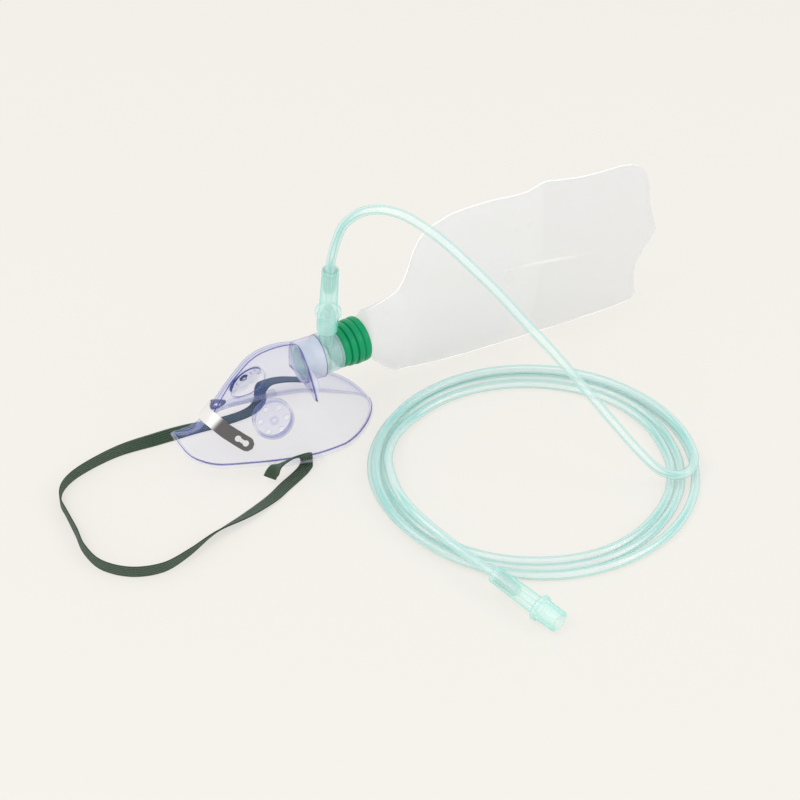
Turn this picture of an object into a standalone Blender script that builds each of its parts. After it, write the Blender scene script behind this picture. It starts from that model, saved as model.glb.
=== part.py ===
"""High concentration oxygen mask with reservoir bag, head strap and coiled supply tubing.

Metres, +Z up. +X runs along the mask's line of symmetry from the nose to the chin and
is also the way its port points; the mask rests rim down. Lengths in the tables are
millimetres and M makes them metres.
"""

import bpy
import bmesh
import math
import numpy as np
from mathutils import Matrix, Vector

M = 0.001

# Place of the frame's origin under the object, in the mask's own measures
FRAME_X = -19.1
FRAME_Y = -20.4

# Mask shell
WALL_T = 1.6
FLANGE_OUT = 2.6
FLANGE_TIP = 1.0
FLANGE_IN = 1.3
FLANGE_T = 1.2
PORT_Z = 51.3
COLLAR_WALL = 2.0
COLLAR_PLAY = 1.0
COLLAR_LIP_X = -52.8
COLLAR_ROOT_X = -68.0
FRONT_X = -66.5
FRONT_SHEAR = 0.12
FRONT_FOLD_Z = 34.0
FOLD_SOFT = 8.0
FOLD_THIN = 0.45
CHIN_TOP_Z = 36.5
VENT_X = -92.5
VENT_Y = 20.4
VENT_Z = 31.6
VENT_R = 12.4
VENT_WALL = 1.4
VENT_FLOOR = 1.4
VENT_PROUD = 1.0
VENT_DEPTH = 4.4
VENT_HOLES = 6
VENT_HOLE_R = 1.75
VENT_HOLE_RING_R = 8.0
BUTTON_R = 1.5
BUTTON_HEAD_R = 3.0
BUTTON_HEAD_T = 1.1
LUG_LENGTH = 34.0
LUG_OUT = 6.6
LUG_T = 1.5
LUG_ROOT = 0.8
LUG_BACK = (-101.0, 29.3, 8.6)
LUG_FRONT = (-67.0, 31.2, 3.9)
SLOT_X = -78.0

# Valves and fits
FIT_GAP = 0.3
FLAP_T = 0.6
FLAP_R = VENT_R - VENT_WALL + 0.6
PLUG_R = 10.3
PLUG_WALL = 1.4
PLUG_START_S = -6.2
TEE_X = -58.5
TEE_YAW = 7.0
BARREL_R = 12.9
BARREL_WALL = 1.6
BARREL_START_S = 7.9
BARREL_END_S = 17.6
SPIGOT_END_S = 35.4
SPIGOT_R = 10.6
VALVE_S = -1.0
VALVE_SEAT_T = 1.6
SEAT_HOLE_R = 2.5
SEAT_HOLE_RING_R = 5.2
SEAT_PEG_R = 1.2
SEAT_PEG_HEAD_R = 2.3
STEM_X = -47.8
STEM_TILT = 8.0
STEM_R = 4.5
BARB_R = 3.3
STEM_BORE_R = 1.6
STEM_SHOULDER_S = 33.0
STEM_TOP_S = 39.0
RING_END_S = 36.0
RING_SMALL_R = 12.7
RING_R = 14.3
RING_RIB = 0.6
NECK_WALL = 0.7
NECK_R = SPIGOT_R + FIT_GAP + NECK_WALL

# Tubing and its end connectors
TUBE_R = 2.8
CUFF_BORE_R = STEM_R + FIT_GAP
CUFF_R = 6.45
END_FLANGE_R = 7.95
END_BODY_R = 5.5
END_TIP_R = 5.0
END_LENGTH = 48.6
CUFF_LENGTH = 12.8
END_FLANGE_T = 2.5
SOCKET_DEPTH = 17.5
CUFF_START_S = 21.3
COIL_X = 40.5
COIL_Y = -101.5
COIL_IN_R = 82.0
COIL_OUT_R = 99.0
COIL_STEP_R = 93.0
COIL_LOW_H = 5.6
COIL_HIGH_H = 8.8

# Nose clip
CLIP_W = 9.0
CLIP_T = 0.8
CLIP_SLOT_R = 2.0
CLIP_NECK_R = 1.2
CLIP_HOLE_RUN = (5.0, 10.6)
PEG_R = 1.4

# Head strap
STRAP_W = 8.0
STRAP_T = 1.0
SLOT_LENGTH = STRAP_W + 1.6
SLOT_W = STRAP_T + 1.0
SLOT_OUT = 3.6
SLOT_CUT = 12.0

# Reservoir bag
BAG_FILM = 0.9


def place(p):
    """A point in the mask's measures as a point of the frame, in metres."""
    return Vector(((p[0] - FRAME_X) * M, (p[1] - FRAME_Y) * M, p[2] * M))


def clear_scene():
    for ob in list(bpy.data.objects):
        bpy.data.objects.remove(ob, do_unlink=True)


def material(name, colour, roughness, metallic=0.0, alpha=1.0):
    mat = bpy.data.materials.new(name)
    mat.use_nodes = True
    bsdf = mat.node_tree.nodes["Principled BSDF"]
    bsdf.inputs["Base Color"].default_value = (*colour, 1.0)
    bsdf.inputs["Roughness"].default_value = roughness
    bsdf.inputs["Metallic"].default_value = metallic
    bsdf.inputs["Alpha"].default_value = alpha
    mat.diffuse_color = (*colour, alpha)
    return mat


def mesh_object(name, verts, faces, mat=None, helper=False):
    mesh = bpy.data.meshes.new(name)
    mesh.from_pydata([tuple(v) for v in verts], [], faces)
    bm = bmesh.new()
    bm.from_mesh(mesh)
    bmesh.ops.remove_doubles(bm, verts=bm.verts, dist=1e-6)
    bmesh.ops.dissolve_degenerate(bm, dist=1e-7, edges=bm.edges)
    bmesh.ops.recalc_face_normals(bm, faces=bm.faces)
    bm.to_mesh(mesh)
    bm.free()
    ob = bpy.data.objects.new(name, mesh)
    bpy.context.scene.collection.objects.link(ob)
    if mat:
        mesh.materials.append(mat)
    if helper:
        ob.hide_render = True
        ob.display_type = "WIRE"
    return ob


def combine(ob, operation, tools, label):
    """Adds the tools to a solid, or takes them away, all of them in one step."""
    group = bpy.data.collections.new(f"{ob.name}_{label}")
    bpy.context.scene.collection.children.link(group)
    for tool in tools:
        group.objects.link(tool)
    mod = ob.modifiers.new(label, "BOOLEAN")
    mod.operation = operation
    mod.solver = "EXACT"
    mod.operand_type = "COLLECTION"
    mod.collection = group
    return mod


def flatten(ob):
    """Splits the faces that a union leaves with more than three corners."""
    return ob.modifiers.new("Triangulate", "TRIANGULATE")


def spline(rows, steps):
    """Rows of numbers refined by a Catmull-Rom spline, steps intervals to each given one."""
    rows = np.asarray(rows, float)
    ends = np.vstack([2 * rows[0] - rows[1], rows, 2 * rows[-1] - rows[-2]])
    out = []
    for i in range(1, len(ends) - 2):
        a, b, c, d = ends[i - 1 : i + 3]
        for k in range(steps):
            t = k / steps
            out.append(
                0.5
                * (
                    2 * b
                    + (c - a) * t
                    + (2 * a - 5 * b + 4 * c - d) * t * t
                    + (3 * b - a - 3 * c + d) * t ** 3
                )
            )
    out.append(rows[-1])
    return np.array(out)


def even(points, count):
    """count + 1 points at even spacing along a polyline."""
    points = np.asarray(points, float)
    run = np.r_[0, np.cumsum(np.linalg.norm(np.diff(points, axis=0), axis=1))]
    at = np.linspace(0, run[-1], count + 1)
    return np.stack([np.interp(at, run, points[:, k]) for k in range(points.shape[1])], 1)


def frame_of(axis):
    axis = Vector(axis).normalized()
    side = axis.orthogonal().normalized()
    return side, axis.cross(side), axis


def revolve(name, profile, start, axis, mat=None, segments=40, helper=False, side=None):
    """A closed profile of (distance along the axis, radius) turned about the axis."""
    u, v, w = frame_of(axis)
    if side is not None:
        u = (Vector(side) - w * w.dot(Vector(side))).normalized()
        v = w.cross(u)
    start = Vector(start)
    verts, faces, rings = [], [], []
    for s, r in profile:
        if r < 1e-9:
            rings.append([len(verts)])
            verts.append(place(start + w * s))
            continue
        rings.append([])
        for k in range(segments):
            a = 2 * math.pi * k / segments
            rings[-1].append(len(verts))
            verts.append(place(start + w * s + (u * math.cos(a) + v * math.sin(a)) * r))
    count = len(rings)
    for i in range(count):
        a, b = rings[i], rings[(i + 1) % count]
        if len(a) == 1 and len(b) == 1:
            continue
        for k in range(segments):
            n = (k + 1) % segments
            if len(a) == 1:
                faces.append((a[0], b[n], b[k]))
            elif len(b) == 1:
                faces.append((a[k], a[n], b[0]))
            else:
                faces.append((a[k], a[n], b[n], b[k]))
    return mesh_object(name, verts, faces, mat, helper)


def rod(name, start, axis, length, radius, segments=24, helper=True):
    profile = [(0, 0), (0, radius), (length, radius), (length, 0)]
    return revolve(name, profile, start, axis, None, segments, helper)


def box(name, centre, along, across, size, helper=True):
    """A box with its length along one direction and its width across."""
    x = Vector(along).normalized()
    z = x.cross(Vector(across)).normalized()
    y = z.cross(x)
    verts = []
    for i in (-1, 1):
        for j in (-1, 1):
            for k in (-1, 1):
                verts.append(
                    place(
                        Vector(centre)
                        + x * (i * size[0] / 2)
                        + y * (j * size[1] / 2)
                        + z * (k * size[2] / 2)
                    )
                )
    faces = [(0, 1, 3, 2), (4, 6, 7, 5), (0, 4, 5, 1), (2, 3, 7, 6), (0, 2, 6, 4), (1, 5, 7, 3)]
    return mesh_object(name, verts, faces, None, helper)


def loft(name, rings, mat=None, helper=False, closed=False):
    """Rings of equal point count joined in order, the two ends closed by strips."""
    count = len(rings[0])
    verts = [place(p) for ring in rings for p in ring]
    faces = []
    last = len(rings) if closed else len(rings) - 1
    for i in range(last):
        a, b = i * count, (i + 1) % len(rings) * count
        for k in range(count):
            n = (k + 1) % count
            faces.append((a + k, a + n, b + n, b + k))
    if not closed:
        for base in (0, (len(rings) - 1) * count):
            for k in range(count // 2 - 1 + count % 2):
                ring = (k, k + 1, count - 2 - k, count - 1 - k)
                face = [base + j for j in dict.fromkeys(ring)]
                if len(face) > 2:
                    faces.append(tuple(face))
    return mesh_object(name, verts, faces, mat, helper)


# Stations of the shell from the nose: x, rim half width, rim height, crest height, body half
# width, fullness, and how far a station leans with height
DOME = [
    (-147.7, 5.6, 22.4, 24.3, 4.2, 2.0, 0.0),
    (-146.0, 11.5, 19.9, 24.7, 6.5, 1.9, 0.0),
    (-143.0, 16.8, 17.9, 25.4, 8.0, 1.8, 0.0),
    (-136.5, 21.7, 15.4, 27.2, 9.4, 1.8, 0.0),
    (-130.0, 24.1, 13.4, 29.5, 10.8, 1.85, 0.0),
    (-124.0, 25.4, 12.2, 35.1, 12.6, 1.9, 0.0),
    (-117.0, 26.6, 11.0, 43.7, 15.0, 1.95, 0.0),
    (-110.5, 27.8, 10.0, 51.3, 17.0, 2.0, 0.0),
    (-104.5, 28.8, 9.0, 57.4, 18.6, 2.05, 0.0),
    (-98.0, 29.7, 8.0, 63.2, 20.0, 2.1, 0.0),
    (-91.5, 30.4, 6.9, 66.3, 21.0, 2.15, 0.0),
    (-85.0, 31.0, 5.9, 67.4, 21.6, 2.2, 0.0),
    (-78.5, 31.4, 4.8, 67.5, 21.6, 2.2, 0.03),
    (-72.5, 31.4, 3.7, 66.7, 21.2, 2.2, 0.07),
    (FRONT_X, 30.6, 2.8, 65.1, 20.6, 2.2, FRONT_SHEAR),
]
CHIN = [
    (-56.5, 29.4, 2.0, 35.9, 20.2, 3.0, 0.07),
    (-50.5, 28.4, 1.5, 34.0, 19.6, 2.8, 0.03),
    (-45.0, 26.9, 1.2, 31.9, 18.6, 2.6, 0.0),
    (-39.5, 24.3, 1.2, 29.0, 17.0, 2.5, 0.0),
    (-34.0, 20.7, 1.3, 25.0, 14.7, 2.4, 0.0),
    (-28.8, 16.6, 1.8, 19.9, 11.8, 2.3, 0.0),
    (-24.4, 12.2, 2.7, 14.2, 8.8, 2.2, 0.0),
    (-21.4, 8.2, 3.6, 9.7, 6.0, 2.1, 0.0),
    (-19.6, 4.4, 4.5, 6.6, 3.4, 2.0, 0.0),
]
NOSE_POINT = (-148.2, 0.0, 23.7)
CHIN_POINT = (-19.0, 0.0, 5.1)
SHEAR_Z = 62.7
# Share of the half width that the far side keeps beside the nose, where the shell is pressed in
FAR_TUCK = [
    (-148.0, 1.0),
    (-146.0, 0.76),
    (-143.0, 0.54),
    (-136.5, 0.44),
    (-130.0, 0.50),
    (-124.0, 0.68),
    (-117.0, 0.85),
    (-110.5, 1.0),
]
FLARE = 6.5
ACROSS = 26


def arch(row, count):
    """One cross-section of the shell's outside, from the near rim over the crest to the far rim."""
    x, w, zr, zt, ws, n, lean = row
    rise = zt - zr
    share = float(np.interp(x, *zip(*FAR_TUCK)))
    dense = []
    for k in range(721):
        a = math.pi * k / 720
        c, s = math.cos(a), math.sin(a)
        u = abs(s) ** (2 / n)
        rim, body = (w, ws) if c > 0 else (w * share, min(ws, 0.85 * w * share))
        y = body * abs(c) ** (2 / n) + (rim - body) * math.exp(-u * rise / FLARE) * (abs(c) > 1e-9)
        if u > 0.999:
            y = body * abs(c) ** (2 / n)
        z = zr + rise * u
        dense.append((x + lean * (SHEAR_Z - z) * (lean > 0), -math.copysign(y, c), z))
    return even(dense, count)


def shell_rows(step=1, across=ACROSS):
    """Rows of outside points and the row after which the front face begins."""
    dome = spline(DOME, step)
    chin = spline(CHIN, step)
    rows = [arch(r, across) for r in dome]
    front = rows[-1].copy()
    low = max(j for j in range(across // 2) if front[j][2] < FRONT_FOLD_Z)
    y0, z0 = abs(front[low][1]), front[low][2]
    inner = across - 2 * low
    for k in range(1, inner):
        a = math.pi * k / inner
        c, s = math.cos(a), math.sin(a)
        z = z0 + (CHIN_TOP_Z - z0) * abs(s) ** (2 / 2.3)
        y = y0 * abs(c) ** (2 / 2.3)
        front[low + k] = (FRONT_X + FRONT_SHEAR * (SHEAR_Z - z), -math.copysign(y, c), z)
    return rows, [front] + [arch(r, across) for r in chin]


def fold_ends(front):
    """Where the creases of the front face run out, on either side."""
    low = max(j for j in range(ACROSS // 2) if front[j][2] < FRONT_FOLD_Z)
    return front[low], front[len(front) - 1 - low]


def shell_sheet(mat):
    dome, chin = shell_rows()
    rows = dome + chin
    count = len(rows[0])
    verts = [place(p) for row in rows for p in row]
    faces = []
    for i in range(len(rows) - 1):
        a, b = i * count, (i + 1) * count
        for k in range(count - 1):
            if i == len(dome) - 1 and np.allclose(rows[i][k : k + 2], rows[i + 1][k : k + 2]):
                continue
            faces.append((a + k, b + k, b + k + 1, a + k + 1))
    for base, tip in ((0, NOSE_POINT), ((len(rows) - 1) * count, CHIN_POINT)):
        verts.append(place(tip))
        for k in range(count - 1):
            faces.append((base + k, base + k + 1, len(verts) - 1))
    ob = mesh_object("mask_shell", verts, faces, mat)
    thin = ob.vertex_groups.new(name="wall")
    thin.add(range(len(ob.data.vertices)), 1.0, "REPLACE")
    folds = [np.array(place(p)) for p in fold_ends(rows[len(dome) - 1])]
    for vert in ob.data.vertices:
        away = min(np.linalg.norm(np.array(vert.co) - p) for p in folds) / M
        if away < FOLD_SOFT:
            thin.add([vert.index], FOLD_THIN + (1 - FOLD_THIN) * away / FOLD_SOFT, "REPLACE")
    solid = ob.modifiers.new("Wall", "SOLIDIFY")
    solid.vertex_group = "wall"
    solid.thickness = WALL_T * M
    solid.offset = -1.0
    solid.use_even_offset = True
    solid.thickness_clamp = 0.0
    return ob, rows


def rim_loop(rows):
    near = [row[0] for row in rows]
    far = [row[-1] for row in rows]
    loop = [np.array(NOSE_POINT)] + near + [np.array(CHIN_POINT)] + far[::-1]
    kept = [loop[0]]
    for p in loop[1:]:
        if np.linalg.norm(p - kept[-1]) > 0.8:
            kept.append(p)
    return np.array(kept)


def flange_width(x):
    """The rim's flange narrows to a bead at the nose and at the chin."""
    share = min(1.0, max(0.0, (x - NOSE_POINT[0]) / 22.0), max(0.0, (CHIN_POINT[0] - x) / 36.0))
    return FLANGE_TIP + (FLANGE_OUT - FLANGE_TIP) * share


def flange(rows):
    loop = rim_loop(rows)
    rings = []
    for i, p in enumerate(loop):
        t = loop[(i + 1) % len(loop)] - loop[i - 1]
        out = np.array([t[1], -t[0], 0.0])
        out /= np.linalg.norm(out)
        if out[1] * (p[1] + 1e-6) < 0 and abs(p[1]) > 1:
            out = -out
        if i == 0:
            out = np.array([-1.0, 0, 0])
        if abs(p[1]) < 1e-6 and i:
            out = np.array([1.0, 0, 0])
        rings.append(
            [
                p + out * o + np.array([0, 0, dz])
                for o, dz in (
                    (-FLANGE_IN, -FLANGE_T),
                    (flange_width(p[0]) - 0.5, -FLANGE_T + 0.1),
                    (flange_width(p[0]), -FLANGE_T / 2),
                    (flange_width(p[0]) - 0.5, -0.05),
                    (-FLANGE_IN, 0.25),
                )
            ]
        )
    return loft("flange_tool", rings, helper=True, closed=True)


def vent_frame(side):
    centre = np.array([VENT_X, side * VENT_Y, VENT_Z])
    normal = np.array([-0.19, side * 0.91, 0.355])
    return centre, normal / np.linalg.norm(normal)


def vent_parts(side):
    """Solids to add to the shell for one exhalation vent, and solids to take away after."""
    c, n = vent_frame(side)
    tag = "near" if side < 0 else "far"
    seat = rod(f"vent_{tag}_seat", c - n * VENT_DEPTH, n, VENT_DEPTH + VENT_PROUD, VENT_R, 30)
    depth = VENT_DEPTH + VENT_PROUD - VENT_FLOOR
    start = c - n * (VENT_DEPTH + 4)
    pocket = rod(f"vent_{tag}_pocket", start, n, depth + 4, VENT_R - VENT_WALL, 30)
    peg = FLAP_T + 2 * FIT_GAP
    profile = [
        (0, 0),
        (0, BUTTON_R),
        (1.0 + peg, BUTTON_R),
        (1.0 + peg, BUTTON_HEAD_R),
        (1.0 + peg + BUTTON_HEAD_T, BUTTON_HEAD_R * 0.8),
        (1.0 + peg + BUTTON_HEAD_T, 0),
    ]
    face = c + n * VENT_PROUD
    button = revolve(f"vent_{tag}_button", profile, face - n * 1.0, n, None, 14, True)
    up = np.cross(n, [1, 0, 0])
    up /= np.linalg.norm(up)
    over = np.cross(up, n)
    holes = []
    for k in range(VENT_HOLES):
        a = 2 * math.pi * (k + 0.25) / VENT_HOLES
        at = c + (up * math.sin(a) + over * math.cos(a)) * VENT_HOLE_RING_R
        holes.append(rod(f"vent_{tag}_hole_{k}", at - n * 5, n, 10, VENT_HOLE_R, 10))
    return [seat], [pocket] + holes, [button]


def lug(side):
    """The strap tab on the rim, with its slot."""
    a, b = (np.array([x, side * y, z]) for x, y, z in (LUG_BACK, LUG_FRONT))
    along = b - a
    out = np.array([0, side * 1.0, 0])
    down = np.array([0, 0, LUG_T / 2])
    mid = (a + b) / 2 + out * (LUG_OUT / 2 - LUG_ROOT)
    tag = "near" if side < 0 else "far"
    tab = box(f"lug_{tag}", mid - down, along, out, (LUG_LENGTH, LUG_OUT, LUG_T))
    at = a + along * ((SLOT_X - a[0]) / along[0]) + out * SLOT_OUT - down
    slot = box(f"slot_{tag}", at, along, out, (SLOT_LENGTH, SLOT_W, SLOT_CUT))
    return tab, slot


def make_shell():
    mat = material("clear_shell", (0.80, 0.82, 0.93), 0.12, alpha=0.35)
    ob, rows = shell_sheet(mat)
    added, taken = [], []
    added.append(flange(rows))
    r_in = PLUG_R + COLLAR_PLAY
    r_out = r_in + COLLAR_WALL
    start = (COLLAR_ROOT_X, 0, PORT_Z)
    run = COLLAR_LIP_X - COLLAR_ROOT_X
    added.append(rod("collar_tool", start, (1, 0, 0), run, r_out, 36))
    bore = rod("bore_tool", (COLLAR_ROOT_X - 3, 0, PORT_Z), (1, 0, 0), run + 6, r_in, 36)
    taken.append(bore)
    for side in (-1, 1):
        a, t, b = vent_parts(side)
        added += a + b
        taken += t
        tab, slot = lug(side)
        added.append(tab)
        taken.append(slot)
    for side in (-1, 1):
        p, n = clip_hole(side, 1)
        added.append(rod(f"peg_{side}", p - n * 0.8, n, 0.8 + FIT_GAP + CLIP_T + 0.7, PEG_R, 12))
    combine(ob, "UNION", added, "walls")
    flatten(ob)
    combine(ob, "DIFFERENCE", taken, "openings")
    return rows


# Centre line of the nose clip from the near end over the crest: x and height on the shell
CLIP_LINE = [(-107.0, 16.8), (-110.5, 19.0), (-115.5, 23.4), (-121.0, 28.4), (-125.0, 32.2), (-126.4, 0)]


def surface_point(x, z):
    """The shell's near outside at station x and height z, or its crest, with the outward normal."""
    xs = [r[0] for r in DOME]

    def at(px, pz):
        row = [np.interp(px, xs, [r[k] for r in DOME]) for k in range(7)]
        half = arch(row, 64)[:33]
        top = half[-1][2]
        if pz is None or pz >= top:
            return np.array([px, 0.0, top])
        return np.array([px, np.interp(pz, half[:, 2], half[:, 1]), pz])

    if z is None:
        p = at(x, None)
        slope = (at(x + 1, None) - at(x - 1, None))
        n = np.array([-slope[2], 0, slope[0]])
        return p, n / np.linalg.norm(n)
    p = at(x, z)
    du = at(x + 1.0, z) - at(x - 1.0, z)
    dv = at(x, z + 1.0) - at(x, z - 1.0)
    n = np.cross(dv, du)
    n /= np.linalg.norm(n)
    return p, (-n if n[1] > 0 else n)


def clip_stations():
    near = []
    for x, z in CLIP_LINE[:-1]:
        near.append(surface_point(x, z))
    top = surface_point(CLIP_LINE[-1][0], None)
    far = [(p * np.array([1, -1, 1]), n * np.array([1, -1, 1])) for p, n in near[::-1]]
    return near + [top] + far


def clip_hole(side, which):
    """Centre of one round end of the clip's slot, and the normal there."""
    st = clip_stations()
    pts = spline([p for p, _ in st], 6)
    nrm = spline([n for _, n in st], 6)
    run = np.r_[0, np.cumsum(np.linalg.norm(np.diff(pts, axis=0), axis=1))]
    s = CLIP_HOLE_RUN[which - 1]
    s = s if side < 0 else run[-1] - s
    p = np.array([np.interp(s, run, pts[:, k]) for k in range(3)])
    n = np.array([np.interp(s, run, nrm[:, k]) for k in range(3)])
    return p, n / np.linalg.norm(n)


def make_clip():
    mat = material("bare_aluminium", (0.62, 0.63, 0.64), 0.35, metallic=1.0)
    st = clip_stations()
    pts = even(spline([p for p, _ in st], 6), 36)
    raw = spline([n for _, n in st], 6)
    run = np.linspace(0, 1, len(raw))
    rings = []
    total = len(pts) - 1
    gap = FIT_GAP + 0.55
    length = np.linalg.norm(np.diff(pts, axis=0), axis=1).sum()
    for i, p in enumerate(pts):
        n = np.array([np.interp(i / total, run, raw[:, k]) for k in range(3)])
        t = pts[min(i + 1, total)] - pts[max(i - 1, 0)]
        t /= np.linalg.norm(t)
        n = n - t * (n @ t)
        n /= np.linalg.norm(n)
        w = np.cross(n, t)
        end = min(i, total - i) * length / total
        r = CLIP_W / 2
        half = math.sqrt(max(r * r - max(r - end - 0.25, 0) ** 2, 1.0))
        if i in (0, total):
            half = 1.5
        rings.append(
            [
                p + w * half + n * gap,
                p - w * half + n * gap,
                p - w * half + n * (gap + CLIP_T),
                p + w * half + n * (gap + CLIP_T),
            ]
        )
    ob = loft("nose_clip", rings, mat)
    tools = []
    for side in (-1, 1):
        a, n = clip_hole(side, 1)
        b, _ = clip_hole(side, 2)
        for k, c in enumerate((a, b)):
            tools.append(rod(f"clip_hole_{side}_{k}", c - n * 3, n, 8, CLIP_SLOT_R, 16))
        size = (np.linalg.norm(b - a), 2 * CLIP_NECK_R, 9)
        tools.append(box(f"clip_neck_{side}", (a + b) / 2, b - a, np.cross(n, b - a), size))
    combine(ob, "DIFFERENCE", tools, "slots")
    return ob


def make_flap(side):
    c, n = vent_frame(side)
    tag = "near" if side < 0 else "far"
    mat = material(f"flap_film_{tag}", (0.86, 0.88, 0.95), 0.2, alpha=0.35)
    start = c + n * (VENT_PROUD + FIT_GAP)
    hole = BUTTON_R + FIT_GAP
    profile = [(0, hole), (0, FLAP_R), (FLAP_T, FLAP_R), (FLAP_T, hole)]
    return revolve(f"exhalation_flap_{tag}", profile, start, n, mat, 32)


def stem_axis():
    a = math.radians(STEM_TILT)
    return Vector((0, -math.sin(a), math.cos(a)))


def tee_axis():
    a = math.radians(TEE_YAW)
    return Vector((math.cos(a), math.sin(a), 0))


def tee_point(s):
    """A point on the tee's axis, s from where it crosses the collar's middle."""
    return Vector((TEE_X, 0, PORT_Z)) + tee_axis() * s


def make_connector():
    mat = material("clear_connector", (0.80, 0.88, 0.87), 0.12, alpha=0.4)
    bore = PLUG_R - PLUG_WALL
    neck = VALVE_S - FLAP_T - 2 * FIT_GAP
    profile = [
        (PLUG_START_S, bore),
        (PLUG_START_S, PLUG_R),
        (BARREL_START_S, PLUG_R),
        (BARREL_START_S, BARREL_R),
        (BARREL_END_S, BARREL_R),
        (BARREL_END_S, SPIGOT_R),
        (SPIGOT_END_S, SPIGOT_R),
        (SPIGOT_END_S, 0),
        (neck - 1.2, 0),
        (neck - 1.2, SEAT_PEG_HEAD_R * 0.8),
        (neck, SEAT_PEG_HEAD_R),
        (neck, SEAT_PEG_R),
        (VALVE_S, SEAT_PEG_R),
        (VALVE_S, bore),
    ]
    ob = revolve("valve_body", profile, tee_point(0), tee_axis(), mat, 36)
    foot = Vector((STEM_X, 0, PORT_Z))
    stem = [
        (8, 0),
        (8, STEM_R),
        (STEM_SHOULDER_S, STEM_R),
        (STEM_SHOULDER_S + 1.2, BARB_R),
        (STEM_TOP_S, BARB_R),
        (STEM_TOP_S, 0),
    ]
    combine(ob, "UNION", [revolve("stem_tool", stem, foot, stem_axis(), None, 18, True)], "stem")
    wide = BARREL_R - BARREL_WALL
    narrow = SPIGOT_R - PLUG_WALL
    hollow = [
        (VALVE_S + VALVE_SEAT_T, 0),
        (VALVE_S + VALVE_SEAT_T, bore),
        (BARREL_START_S + BARREL_WALL, bore),
        (BARREL_START_S + BARREL_WALL, wide),
        (BARREL_END_S - BARREL_WALL, wide),
        (BARREL_END_S - BARREL_WALL, narrow),
        (SPIGOT_END_S + 4, narrow),
        (SPIGOT_END_S + 4, 0),
    ]
    tools = [revolve("bore_tool_tee", hollow, tee_point(0), tee_axis(), None, 36, True)]
    tools.append(rod("stem_bore", foot, stem_axis(), STEM_TOP_S + 5, STEM_BORE_R, 12))
    side, up, _ = frame_of(tee_axis())
    for k in range(4):
        a = math.pi / 4 + math.pi / 2 * k
        at = tee_point(VALVE_S - 2) + (side * math.cos(a) + up * math.sin(a)) * SEAT_HOLE_RING_R
        tools.append(rod(f"seat_hole_{k}", at, tee_axis(), 6, SEAT_HOLE_R, 12))
    combine(ob, "DIFFERENCE", tools, "bores")
    return ob


def make_inlet_flap():
    mat = material("valve_film", (0.85, 0.88, 0.90), 0.25, alpha=0.5)
    hole = SEAT_PEG_R + FIT_GAP
    r = PLUG_R - PLUG_WALL - 0.7
    profile = [(0, hole), (0, r), (FLAP_T, r), (FLAP_T, hole)]
    return revolve("inlet_flap", profile, tee_point(VALVE_S - FIT_GAP), -tee_axis(), mat, 32)


def make_ring():
    mat = material("green_ring", (0.0, 0.33, 0.12), 0.25)
    bore = NECK_R + FIT_GAP
    start = BARREL_END_S + FIT_GAP
    run = RING_END_S - start
    ribs = 4
    pitch = run / ribs
    profile = [(0, bore)]
    for k in range(ribs):
        a = k * pitch
        r = RING_SMALL_R + (RING_R - RING_SMALL_R) * min(1.0, (k + 0.2) / 2)
        profile += [(a + (0.45 if k else 0), r), (a + pitch - 0.45, r + 0.15)]
        if k < ribs - 1:
            profile += [(a + pitch - 0.3, r - RING_RIB), (a + pitch + 0.3, r - RING_RIB)]
    profile += [(run, RING_R - 0.4), (run, bore)]
    return revolve("bag_ring", profile, tee_point(start), tee_axis(), mat, 32)


# Outline of the bag: x of the station, upper edge (y, z), lower edge (y, z), half thickness
BAG = [
    (-18.5, 4.3, 69.9, 5.7, 36.2, 11.8),
    (-12.0, 3.8, 72.6, 6.6, 28.6, 11.3),
    (-4.0, 3.2, 76.2, 8.8, 19.0, 10.6),
    (2.0, 2.5, 80.2, 11.0, 12.6, 9.8),
    (5.8, 2.1, 86.6, 12.0, 10.4, 9.3),
    (9.0, 1.8, 95.4, 12.6, 9.2, 8.9),
    (12.0, 1.7, 105.4, 13.3, 8.2, 8.4),
    (16.6, 1.4, 114.6, 14.4, 6.8, 7.8),
    (22.0, 1.1, 120.2, 15.2, 5.2, 7.4),
    (30.0, 0.7, 123.8, 16.4, 3.4, 6.9),
    (38.0, 0.6, 126.4, 16.8, 2.2, 6.5),
    (52.0, 0.6, 127.4, 16.8, 1.4, 6.2),
    (66.0, 0.6, 127.4, 16.4, 1.2, 5.8),
    (79.0, 0.7, 126.0, 16.0, 1.2, 5.5),
    (90.0, 0.8, 126.0, 15.8, 1.2, 5.2),
    (101.0, 0.9, 129.2, 15.6, 1.2, 4.9),
    (112.0, 1.0, 127.4, 15.5, 1.2, 4.6),
    (126.0, 1.1, 125.0, 15.3, 1.2, 4.2),
    (142.0, 1.2, 123.9, 15.2, 1.3, 3.8),
    (156.0, 1.3, 123.9, 15.1, 1.6, 3.2),
    (166.0, 1.4, 122.4, 15.0, 2.2, 2.6),
    (175.0, 1.5, 119.6, 15.0, 3.4, 1.8),
]
# How far the end edge stands beyond its station, by height from the lower edge to the upper
BAG_END = [
    (0.0, 5.0),
    (0.05, 7.5),
    (0.12, 4.4),
    (0.22, 2.4),
    (0.31, 2.5),
    (0.40, 6.4),
    (0.47, 11.0),
    (0.52, 13.8),
    (0.63, 9.0),
    (0.71, 5.6),
    (0.87, 3.4),
    (0.95, 0.0),
    (1.0, -5.0),
]
BAG_END_REACH = 30.0
BAG_ROUND = 24


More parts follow.
